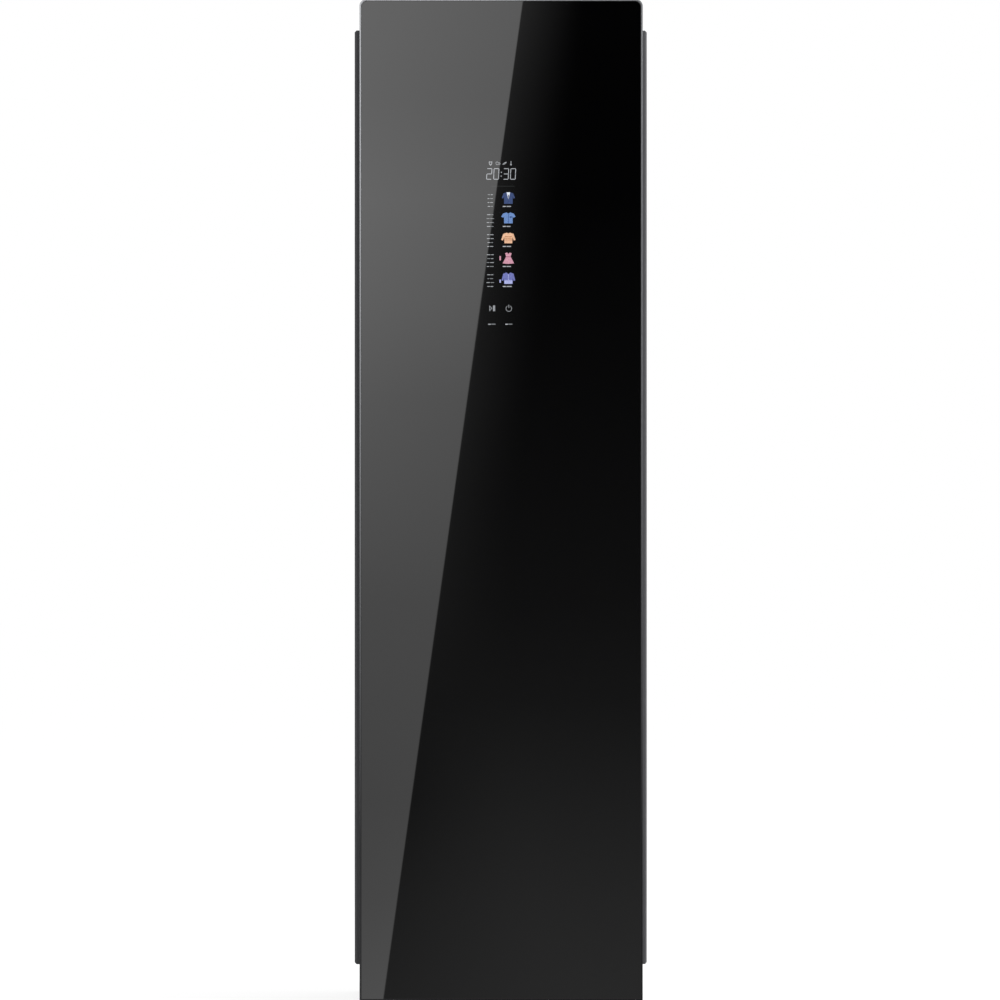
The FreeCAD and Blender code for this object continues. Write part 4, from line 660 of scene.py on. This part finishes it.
class CABINET_OT_pressing_pad(Operator):
    """Make the padded pressing board with its piping, stitches and lugs"""

    bl_idname = "cabinet.pressing_pad"
    bl_label = "Pressing Pad"

    def execute(self, context):
        sizes = context.scene.cabinet_sizes
        low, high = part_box("press_plate")
        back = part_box("press_board")[0].y
        right, half_height = -low.x, (high.z - low.z) / 2
        middle_z = (high.z + low.z) / 2
        channel = sizes.pad_channel
        plate_gap, crown = 0.6 * MM, 2.4 * MM
        full = low.y - back - plate_gap
        edge = full - crown

        def pulled(x, z, pull=1.4 * MM):
            """Sides draw in between the corners."""
            u, v = x / right, (z - middle_z) / half_height
            return x - u * pull * (1 - v * v), z - v * pull * (1 - u * u)

        def outline(inset):
            radius = max(0.5 * MM, sizes.pad_corner - inset)
            corners = round_corners((inset - right, low.z + inset),
                                    (right - inset, high.z - inset), (radius,) * 4, 8)
            return [pulled(x, z) for x, z in corners]

        shape = bmesh.new()
        # Rings of the cover: a line's inset and height, then millimetres from that line.
        lines = ((0, 0, ((1.6, 0), (0.4, 0.8), (0, 2.8))),
                 (0, edge, ((0.3, -3), (1.2, -1.2), (3, -0.2))),
                 (channel, edge, ((-2.4, 0.1), (-0.8, -0.7), (0, -1.2), (0.8, -0.7), (2.4, 0.4))),
                 (channel, full, ((12, -1.1), (40, -0.5), (80, -0.1))),
                 (right, full, ((-6, 0),)))
        skin(shape, [ring_at(shape, outline(start + inset * MM), back + level + rise * MM)
                     for start, level, rows in lines for inset, rise in rows], capped=True)
        pad = piece("pressing_pad", shape, "door", "board_fabric", smooth=True)
        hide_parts("press_board")

        shape = bmesh.new()
        radius, inset, height = 1.6 * MM, 0.6 * MM, 3.4 * MM
        tube_along(shape, [(x, back + height, z) for x, z in outline(inset)], radius)
        piping = Finish("piping_weave", scaled(context.scene.cabinet_colours.board_fabric, 0.55))
        piece("pad_piping", shape, "door", "board_fabric", [woven(piping, 900)])
        self.stitches(outline(channel), back + edge)
        self.lugs(right, back)
        return {"FINISHED"}

    @staticmethod
    def stitches(run, level):
        """Short raised threads sunk in the channel."""
        pitch, half, sunk, crest, radius = 3.6 * MM, 1.2 * MM, 1.0 * MM, 0.8 * MM, 0.35 * MM
        shape = bmesh.new()
        spare = 0.0
        for (x0, z0), (x1, z1) in zip(run, run[1:] + run[:1]):
            length = hypot(x1 - x0, z1 - z0)
            along_x, along_z = (x1 - x0) / length, (z1 - z0) / length
            while spare < length:
                points = [(x0 + along_x * (spare + reach), level - depth,
                           z0 + along_z * (spare + reach))
                          for reach, depth in ((-half, sunk), (0, crest), (half, sunk))]
                tube_along(shape, points, radius, 5, closed=False)
                spare += pitch
            spare -= length
        thread = moulded(Finish("stitch_thread", seen(196, 198, 204)), 0.7)
        piece("pad_stitching", shape, "door", "board_fabric", [thread])

    @staticmethod
    def lugs(side_x, back):
        """Two pairs of moulded lugs, each with its steel pin."""
        pin_x, pin_y, pin = 158 * MM, -241.5 * MM, 2.5 * MM
        barrel, lug, length = 5.0 * MM, 8.0 * MM, 30.6 * MM
        width = pin_x + barrel - side_x + lug
        shape = bmesh.new()

        def rod(radius, low, height, steps, material):
            lathed(shape, [(0, 0), (radius, 0), (radius, height), (0, height)],
                   (pin_x, pin_y, low), UP, steps, material)

        for level in (719.7 * MM, 1159.7 * MM):
            for low in (level - lug, level + length):
                raised(shape, bar(side_x - lug, low, width, lug), pin_y, back)
                rod(barrel, low, lug, 28, 0)
            rod(pin, level - lug / 2, length + lug, 20, 1)
        piece("press_hinge_lugs", shape, "door", "inner_plastic",
              [finishes["inner_plastic"], finishes["hinge_steel"]], "press_board")


class CABINET_OT_lint_cloth(Operator):
    """Make the fine wire cloth behind the lint filter's windows"""

    bl_idname = "cabinet.lint_cloth"
    bl_label = "Lint Cloth"

    def execute(self, context):
        sizes = context.scene.cabinet_sizes
        low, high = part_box("lint_filter")
        # The filter's windows, and the walls that hold them.
        half_width, frame_wall = 149 * MM, 1.9 * MM
        z_low, z_high = low.z + 7 * MM, high.z - 19 * MM
        walls = (-95 * MM + frame_wall, -14.3 * MM - frame_wall)
        pitch, wire = sizes.cloth_pitch, sizes.cloth_wire

        shape = bmesh.new()
        for y in walls:
            for i in range(int(2 * half_width / pitch) + 1):
                x = i * pitch - half_width
                cuboid(shape, (x, y, z_low), (x + wire, y + wire, z_high))
            for i in range(int((z_high - z_low) / pitch) + 1):
                z = z_low + i * pitch
                cuboid(shape, (-half_width, y - wire * 0.4, z),
                       (half_width, y + wire * 0.6, z + wire))
        cloth = brushed(Finish("cloth_wire", seen(176, 178, 182)), 0.35, (300, 300, 300))
        piece("lint_cloth", shape, "lint_filter", "fin_aluminium", [cloth])
        return {"FINISHED"}


class CABINET_OT_screws(Operator):
    """Make the screw heads on the rear sheets and the door's inner panel"""

    bl_idname = "cabinet.screws"
    bl_label = "Screws"

    def execute(self, context):
        rear = [(255.5, z) for z in (445, 800, 1160, 1520, 1865)] + [(85, 1865)]
        cover = [(255.5, z) for z in (40, 220, 400)] + [(85, 400)]
        liner = [(252.5, z) for z in (60, 360, 800, 1250, 1600, 1850)]
        head = ((0, -0.08), (1, -0.08), (1, 0.25), (0.86, 0.48), (0.6, 0.6), (0.4, 0.62, 0.42),
                (0.28, 0.3, 0.42), (0, 0.2))
        for node, body, radius, spots in (("rear_panel", "cabinet", 3.6 * MM, rear),
                                          ("rear_cover", "cabinet", 3.6 * MM, cover),
                                          ("door_liner", "door", 2.6 * MM, liner)):
            profile = [(radius * reach, radius * height, *lobe) for reach, height, *lobe in head]
            shape = bmesh.new()
            for x, z in spots:
                for side in (-1, 1):
                    place = rear_face(node, side * x * MM, z * MM)
                    lathed(shape, profile, place, REARWARD, 32)
            piece(f"{node}_screws", shape, body, "zinc_steel")
        return {"FINISHED"}


class CABINET_OT_tank_marks(Operator):
    """Make the raised level marks and plain water signs on the two tanks"""

    bl_idname = "cabinet.tank_marks"
    bl_label = "Tank Marks"

    def execute(self, context):
        drop = both_halves((0, 100), (16, 70), (30, 42), (33, 26), (27, 10), (14, 1), (0, 0))
        falling = [(-0.5, 0.5), (0.0, 0.0), (0.5, 0.5), (0.2, 0.5), (0.2, 1.0), (-0.2, 1.0),
                   (-0.2, 0.5)]
        rising = [(x, 1 - z) for x, z in falling]
        for tank, ink, arrow in (("supply_tank", (38, 98, 160), rising),
                                 ("drain_tank", (96, 100, 106), falling)):
            low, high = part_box(tank)
            middle, right = (low.x + high.x) / 2, high.x - 22 * MM
            outlines = [fitted(drop, middle - 10 * MM, low.z + 75 * MM, 20 * MM, 22 * MM),
                        fitted(arrow, middle, low.z + 55 * MM, 10 * MM, 12 * MM)]
            for number in range(6):
                width = (6 if number % 5 else 10) * MM
                outlines.append(bar(right - width, low.z + (30 + number * 22) * MM, width,
                                    0.9 * MM))
            shape = bmesh.new()
            for points in outlines:
                raised(shape, points, low.y + 0.4 * MM, low.y - 0.2 * MM)
            material = moulded(Finish(f"{tank}_mark_ink", seen(*ink)), 0.4)
            piece(f"{tank}_marks", shape, tank, "tank_lid_plastic", [material])
        return {"FINISHED"}


class CABINET_OT_levelling_feet(Operator):
    """Make the levelling feet: a scalloped pad, a hexagon and a thread"""

    bl_idname = "cabinet.levelling_feet"
    bl_label = "Levelling Feet"

    def execute(self, context):
        core, crest, start, pitch = 4.3, 5.0, 12.8, 1.5
        rim = ((17.1, 0), (17.5, 0.2), (17.7, 0.7), (17.7, 1.1), (17.7, 5.2), (17.7, 5.7),
               (17.4, 6.4), (16.8, 6.9), (16.2, 7.0))
        scallop = 0.016
        pad = [(0, 0), (16.6, 0), *((*row, scallop) for row in rim), (15.6, 7.0), (0, 7.0)]
        hexagon = [(0, 6.8), (11, 6.8), (11, 12.2), (10.3, 13.0), (0, 13.0)]
        for name in (node for node in nodes if node.startswith("foot_")):
            low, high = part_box(name)
            centre = ((low.x + high.x) / 2, (low.y + high.y) / 2, 0)
            top = high.z / MM
            thread = [(0, start), (core, start)]
            for turn in range(int((top - start - 1.2) / pitch)):
                level = start + turn * pitch
                thread += [(core, level + 0.4), (crest, level + 1.0), (crest, level + 1.2)]
            thread += [(core, top - 0.4), (core - 0.4, top), (0, top)]

            shape = bmesh.new()
            for profile, steps, lobes in ((pad, 72, 12), (hexagon, 6, 1), (thread, 24, 1)):
                rows = [(radius * MM, height * MM, *lobe) for radius, height, *lobe in profile]
                lathed(shape, rows, centre, UP, steps, lobes=lobes)
            piece(f"{name}_pad", shape, name, "foot_plastic", replaced=name)
        return {"FINISHED"}


# ---- Display: places in millimetres from its middle line and above the floor ----
SEGMENTS = {"0": "abcdef", "2": "abdeg", "3": "abcdg"}
CLOCK = "2030"
COAT = both_halves((0, 90), (13, 97), (34, 88), (46, 50), (36, 44), (30, 62), (30, 0), (0, 0))
SHIRT = both_halves((0, 86), (14, 96), (38, 86), (50, 60), (36, 52), (30, 60), (30, 4), (0, 4))
JUMPER = both_halves((0, 88), (12, 94), (36, 84), (50, 34), (38, 28), (29, 56), (27, 5), (0, 5))
DRESS = both_halves((0, 84), (10, 95), (22, 90), (16, 60), (40, 4), (0, 0))
CARDIGAN = both_halves((0, 82), (14, 96), (36, 86), (48, 30), (36, 26), (30, 52), (30, 0), (0, 0))
NECK = both_halves((0, 38), (13, 97), (0, 97))
TIE = both_halves((0, 40), (3.5, 70), (0, 80))
# Each garment's outline and its two colours, then its details: cloth is 0, shade 1 and collar 2.
GARMENTS = (
    (COAT, (62, 78, 120), (28, 38, 68), (2, NECK), (1, TIE)),
    (SHIRT, (108, 140, 194), (58, 84, 140), (1, bar(0.48, 0.04, 0.04, 0.78)),
     (1, bar(0.6, 0.5, 0.13, 0.14))),
    (JUMPER, (232, 184, 150), (190, 134, 96),
     *((1, bar(0.24, 0.3 + 0.14 * i, 0.52, 0.06)) for i in range(3))),
    (DRESS, (208, 152, 170), (158, 100, 122), (1, bar(0.33, 0.56, 0.34, 0.07)),
     (0, bar(-0.12, 0.3, 0.1, 0.36))),
    (CARDIGAN, (112, 118, 180), (172, 178, 226), (1, bar(0.22, 0.0, 0.56, 0.3)),
     (1, bar(0.48, 0.3, 0.04, 0.5)), (1, bar(-0.12, 0.1, 0.1, 0.26))),
)


def segment_shape(letter, width, height, stroke):
    """Outline of one bar of a seven-bar figure, with mitred ends."""
    half, gap, middle = stroke / 2, stroke * 0.12, height / 2
    first, last, level = {
        "a": (0, width, height - half), "g": (0, width, middle), "d": (0, width, half),
        "b": (middle - half, height, width - half), "c": (0, middle + half, width - half),
        "f": (middle - half, height, half), "e": (0, middle + half, half)}[letter]
    points = [(first + half + gap, level), (first + stroke + gap, level + half),
              (last - stroke - gap, level + half), (last - half - gap, level),
              (last - stroke - gap, level - half), (first + stroke + gap, level - half)]
    return points if letter in "agd" else [(x, z) for z, x in points]


def sign(name, layers, inks):
    """A flat sign sunk in the glass; layers are (ink number, outline) from the back."""
    sizes = bpy.context.scene.cabinet_sizes
    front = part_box("door_glass")[0].y + sizes.glass_recess - 0.05 * MM
    back = front + sizes.sign_depth
    shift, step, last_step = -0.9, 0.02 * MM, 6
    shape = bmesh.new()
    for number, (ink, points) in enumerate(layers):
        raised(shape, [((x + shift) * MM, z * MM) for x, z in points], back,
               front - step * min(number, last_step), ink)
    piece(name, shape, "door", "display_black", inks)


class CABINET_OT_display(Operator):
    """Make the lit display: clock, status signs, garment signs, labels and keys"""

    bl_idname = "cabinet.display"
    bl_label = "Display"

    def execute(self, context):
        sizes = context.scene.cabinet_sizes
        tones = {"white": (180, 183, 188), "pale": (164, 167, 171), "grey": (132, 135, 138),
                 "faint": (44, 47, 47), "unlit": (16, 16, 17)}
        white, pale, grey, faint, unlit = (lit_ink(Finish(f"ink_{name}", seen(*tone)))
                                           for name, tone in tones.items())
        self.clock(sizes, white)
        self.status((pale, unlit))
        self.garments(sizes)
        self.labels(sizes, (pale, grey, faint, white))
        self.keys((white, pale))
        return {"FINISHED"}

    @staticmethod
    def clock(sizes, ink):
        width, height, stroke = (value / MM for value in (
            sizes.figure_width, sizes.figure_height, sizes.figure_stroke))
        start, low, pitch, colon_room, slant = -27.3, 1559.2, 13.3, 5.0, 0.05
        layers = []
        for number, figure in enumerate(CLOCK):
            left = start + number * pitch + (colon_room if number > 1 else 0)
            for letter in SEGMENTS[figure]:
                points = segment_shape(letter, width, height, stroke)
                layers.append((0, [(left + x + z * slant, low + z) for x, z in points]))
        for level in (6.6, 13.6):
            layers.append((0, disc(0.6 + level * slant, low + level, 1.0)))
        sign("clock_figures", layers, [ink])

    @staticmethod
    def status(inks):
        """Care, cloud, leaf and heat signs above the clock; inks are lit and unlit."""
        low = 1585.4
        shield = both_halves((0, 90), (46, 100), (50, 60), (32, 22), (0, 0))
        leaf = ((0.0, 0.1), (0.25, 0.6), (0.65, 0.95), (1.0, 1.0), (0.8, 0.5), (0.4, 0.12))
        leaf_place = (3.2, low + 1.6, 8.4, 5.4)
        sign("status_signs", [
            (0, fitted(shield, -22.4, low, 6.4, 8.2)),
            (1, fitted(shield, -21.1, low + 2.2, 3.8, 4.4)),
            (0, arc_band(-6.9, low + 5.0, 2.7, 0.9, -20, 220)),
            (0, arc_band(-2.9, low + 3.8, 2.1, 0.8, -80, 160)),
            (0, bar(-9.1, low + 1.6, 6.2, 0.8)),
            (0, fitted(leaf, *leaf_place)),
            (1, fitted(bar(0.25, 0.36, 0.45, 0.12), *leaf_place)),
            (0, disc(19.4, low + 2.0, 1.5)),
            (0, bar(18.8, low + 2.0, 1.2, 6.6))], inks)

    @staticmethod
    def garments(sizes):
        size, pitch = sizes.garment_size / MM, sizes.garment_pitch / MM
        left, top_low, height = 1.0, 1513.4, 22.4
        white = lit_ink(Finish("ink_collar", seen(226, 232, 242)))
        for number, (cut, cloth, shade, *details) in enumerate(GARMENTS):
            inks = [lit_ink(Finish(f"ink_{part}_{number + 1}", seen(*tone)), 0.95, 0.2, 420)
                    for part, tone in (("cloth", cloth), ("shade", shade))]
            sign(f"garment_sign_{number + 1}",
                 [(ink, fitted(points, left, top_low - number * pitch, size, height))
                  for ink, points in ((0, cut), *details)], [*inks, white])

    @staticmethod
    def labels(sizes, inks):
        """Plain dashes in the places of words; inks are pale, grey, faint and white."""
        pale, grey, faint, white = range(4)
        chance = Random(7)
        middle, line_pitch, gap, name_drop = -19.7, 7.4, 1.4, 22.4
        layers = [(faint, bar(-17.5, 1546.2, 44.0, 0.8))]
        for group in range(5):
            top = 1530.0 - group * sizes.garment_pitch / MM
            for line in range(4):
                first, second = chance.uniform(3.2, 7.2), chance.uniform(3.2, 7.2)
                start = middle - (first + second + gap) / 2
                for x, length in ((start, first), (start + first + gap, second)):
                    ink = chance.choice((pale, pale, grey))
                    layers.append((ink, bar(x, top - line * line_pitch, length, 1.3)))
            low = top - name_drop
            longer = chance.uniform(7.0, 10.5)
            layers += [(white, bar(4.0, low, 5.5, 1.8)), (pale, bar(11.0, low, longer, 1.8))]
        for short_ink, left, short, right in ((pale, -23.8, 5.4, -17.4), (white, 8.8, 4.6, 14.4)):
            layers += [(short_ink, bar(left, 1285.0, short, 1.8)),
                       (grey, bar(right, 1285.3, 7.6, 1.6))]
        sign("label_dashes", layers, inks)

    @staticmethod
    def keys(inks):
        """Start or pause key, and the power key."""
        low = 1310.6
        left, right, tall = -21.2, -15.8, 10.8
        triangle = [(left, low), (left, low + tall), (right, low + tall / 2)]
        hollow = [(left + 1.0, low + 2.1), (left + 1.0, low + tall - 2.1),
                  (right - 1.5, low + tall / 2)]
        edges = [(1, [triangle[i], triangle[i - 2], hollow[i - 2], hollow[i]]) for i in range(3)]
        sign("start_key_sign", [*edges, *((0, bar(x, low, 1.3, tall)) for x in (-14.4, -12.0))],
             inks)
        sign("power_key_sign", [(1, arc_band(15.4, low + 5.0, 5.8, 0.85, 120, 420, 20)),
                                (1, bar(14.9, low + 6.2, 1.0, 6.0))], inks)


class CABINET_OT_studio(Operator):
    """Set up the floor, the soft light, the mirrored card and the camera"""

    bl_idname = "cabinet.studio"
    bl_label = "Studio"

    def execute(self, context):
        studio = context.scene.studio_values
        context.scene.view_settings.view_transform = "Standard"
        self.floor()
        self.world(context.scene, studio)
        self.lamps(studio)
        self.mirrored_card(studio)
        self.camera(context.scene, studio)
        return {"FINISHED"}

    @staticmethod
    def plain(name, *corners):
        """Adds one flat face of the stage; gives it back with its empty material."""
        mesh = bpy.data.meshes.new(name)
        mesh.from_pydata(corners, [], [(0, 1, 2, 3)])
        material = set_up(bpy.data.materials.new(name), use_nodes=True)
        mesh.materials.append(material)
        made = added(name, mesh)
        return made, Board(material.node_tree)

    def floor(self):
        """A pale floor that shows white to the camera and keeps a soft shadow."""
        reach, own_light, seen_share = 60, 1.4, 0.55
        ground, board = self.plain("floor", (-reach, -reach, 0), (reach, -reach, 0),
                                   (reach, reach, 0), (-reach, reach, 0))
        ground.visible_glossy = False
        path = board.node("ShaderNodeLightPath", output="Is Camera Ray")
        matt = board.node("ShaderNodeBsdfDiffuse", {"Color": (0.93, 0.93, 0.93, 1)})
        glow = board.node("ShaderNodeEmission", {"Color": WHITE, "Strength": own_light})
        both = board.node("ShaderNodeMixShader", {0: path * seen_share, 1: matt, 2: glow})
        board.node("ShaderNodeOutputMaterial", {"Surface": both})

    @staticmethod
    def world(scene, studio):
        """White all round to the camera and in reflections, and dimmer as a light."""
        scene.world = bpy.data.worlds.new("studio_air")
        scene.world.use_nodes = True
        board = Board(scene.world.node_tree)
        camera, glossy, through = (board.node("ShaderNodeLightPath", output=f"Is {kind} Ray")
                                   for kind in ("Camera", "Glossy", "Transmission"))
        direct = camera + glossy + through > 0.5
        strength = direct + (1 - direct) * studio.ambient
        air = board.node("ShaderNodeBackground", {"Color": WHITE, "Strength": strength})
        board.node("ShaderNodeOutputWorld", {"Surface": air})

    @staticmethod
    def lamps(studio):
        aim = Vector((0, 0, 1.0))
        for name, place, size, power in (
                ("key_lamp", (5.2, -3.25, 3.1), (2.9, 3.4), studio.key),
                ("fill_lamp", (-3.6, -2.6, 2.0), (2.4, 2.6), studio.fill),
                ("rear_lamp", (0.8, 4.2, 3.0), (3.0, 2.4), studio.fill)):
            light = set_up(bpy.data.lights.new(name, "AREA"), shape="RECTANGLE", size=size[0],
                           size_y=size[1], energy=power)
            turn = (aim - Vector(place)).to_track_quat("-Z", "Y").to_euler()
            set_up(added(name, light), location=place, rotation_euler=turn, visible_camera=False,
                   visible_glossy=False)

    def mirrored_card(self, studio):
        """A card that only reflections see: pale left of a slanting edge, else dark."""
        away, reach, card_low, card_top = 0.9, 1.0, -0.6, 2.4
        grow = 1 + away / studio.distance
        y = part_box("door_glass")[0].y - away

        def on_card(x, z):
            """Where the camera sees the card by the glass at x, z."""
            return (studio.stand_side + (x - studio.stand_side) * grow,
                    studio.aim_height + (z - studio.aim_height) * grow)

        # The slanting edge's ends on the glass.
        top_x, top_z = on_card(0.0414, 1.900)
        foot_x, foot_z = on_card(-0.2231, 0.008)
        card, board = self.plain("mirrored_card", (-reach, y, card_low), (reach, y, card_low),
                                 (reach, y, card_top), (-reach, y, card_top))
        set_up(card, visible_camera=False, visible_diffuse=False, visible_shadow=False,
               visible_transmission=False)
        place = board.node("ShaderNodeTexCoord", output="Object")
        x, z = (board.node("ShaderNodeSeparateXYZ", {0: place}, axis) for axis in "XZ")
        height = (z - foot_z) * (1 / (top_z - foot_z))
        right = x - (foot_x + height * (top_x - foot_x))
        dull = 1.05 + board.spread(right, -0.3, 0) * board.spread(height, 0.1, 0.6, 0.2, -0.2)
        pale = board.greys(height, 1.08, 0.89, 0.86, 0.97, 1.1, 1.38, 1.65, 2.02, 2.24, 2.06, 2.14)
        far = board.greys(height, 0.37, 0.298, 0.206, 0.12, 0.077, 0.056, 0.037, 0.021, 0.005,
                          0.004, 0.005)
        near = board.greys(height, 0.25, 0.195, 0.12, 0.116, 0.142, 0.15, 0.18, 0.17, 0.17,
                           0.205, 0.3)
        tightness = board.spread(height, 0, 0.5, 2.2, 7.7)
        beside = (1 - board.spread(right * tightness, 0, 1)) ** 1.6
        shown = board.mix(board.spread(right, -0.001, 0.001),
                          board.mix(1, pale, dull, "MULTIPLY"), board.mix(beside, far, near))
        fade = board.spread(abs(x), 0.4, reach).or_more(board.spread(z, 2.0, card_top))
        glow = board.node("ShaderNodeEmission", {"Color": board.mix(fade, shown, WHITE)})
        board.node("ShaderNodeOutputMaterial", {"Surface": glow})

    @staticmethod
    def camera(scene, studio):
        sensor = 36
        lens = set_up(bpy.data.cameras.new("camera"), sensor_width=sensor, clip_end=200,
                      lens=sensor * studio.distance / studio.view_width)
        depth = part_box("door_glass")[0].y - studio.distance
        turn = atan2(studio.stand_side - studio.aim_side, studio.distance)
        scene.camera = set_up(added("camera", lens), rotation_euler=(pi / 2, 0, turn),
                              location=(studio.stand_side, depth, studio.aim_height))


class CABINET_PT_panel(Panel):
    """The cabinet's steps and values in the sidebar"""

    bl_label = "Clothes Care Cabinet"
    bl_space_type = "VIEW_3D"
    bl_region_type = "UI"
    bl_category = "Cabinet"

    def draw(self, context):
        for operator in OPERATORS:
            self.layout.operator(operator.bl_idname)
        for group in VALUE_GROUPS:
            values = getattr(context.scene, group)
            box = self.layout.box()
            for name in values.__annotations__:
                box.prop(values, name)


VALUE_GROUPS = {"cabinet_colours": CabinetColours, "cabinet_sizes": CabinetSizes,
                "studio_values": StudioValues}
OPERATORS = (CABINET_OT_finish_frame, CABINET_OT_glass_pane, CABINET_OT_display,
             CABINET_OT_pressing_pad, CABINET_OT_lint_cloth, CABINET_OT_screws,
             CABINET_OT_tank_marks, CABINET_OT_levelling_feet, CABINET_OT_studio)


def register():
    for group in (*VALUE_GROUPS.values(), *OPERATORS, CABINET_PT_panel):
        bpy.utils.register_class(group)
    for name, group in VALUE_GROUPS.items():
        setattr(bpy.types.Scene, name, PointerProperty(type=group))


def unregister():
    for name in VALUE_GROUPS:
        delattr(bpy.types.Scene, name)
    for group in (CABINET_PT_panel, *OPERATORS[::-1], *VALUE_GROUPS.values()):
        bpy.utils.unregister_class(group)


def main():
    register()
    for operator in OPERATORS:
        family, action = operator.bl_idname.split(".")
        getattr(getattr(bpy.ops, family), action)()


if __name__ == "__main__":
    main()
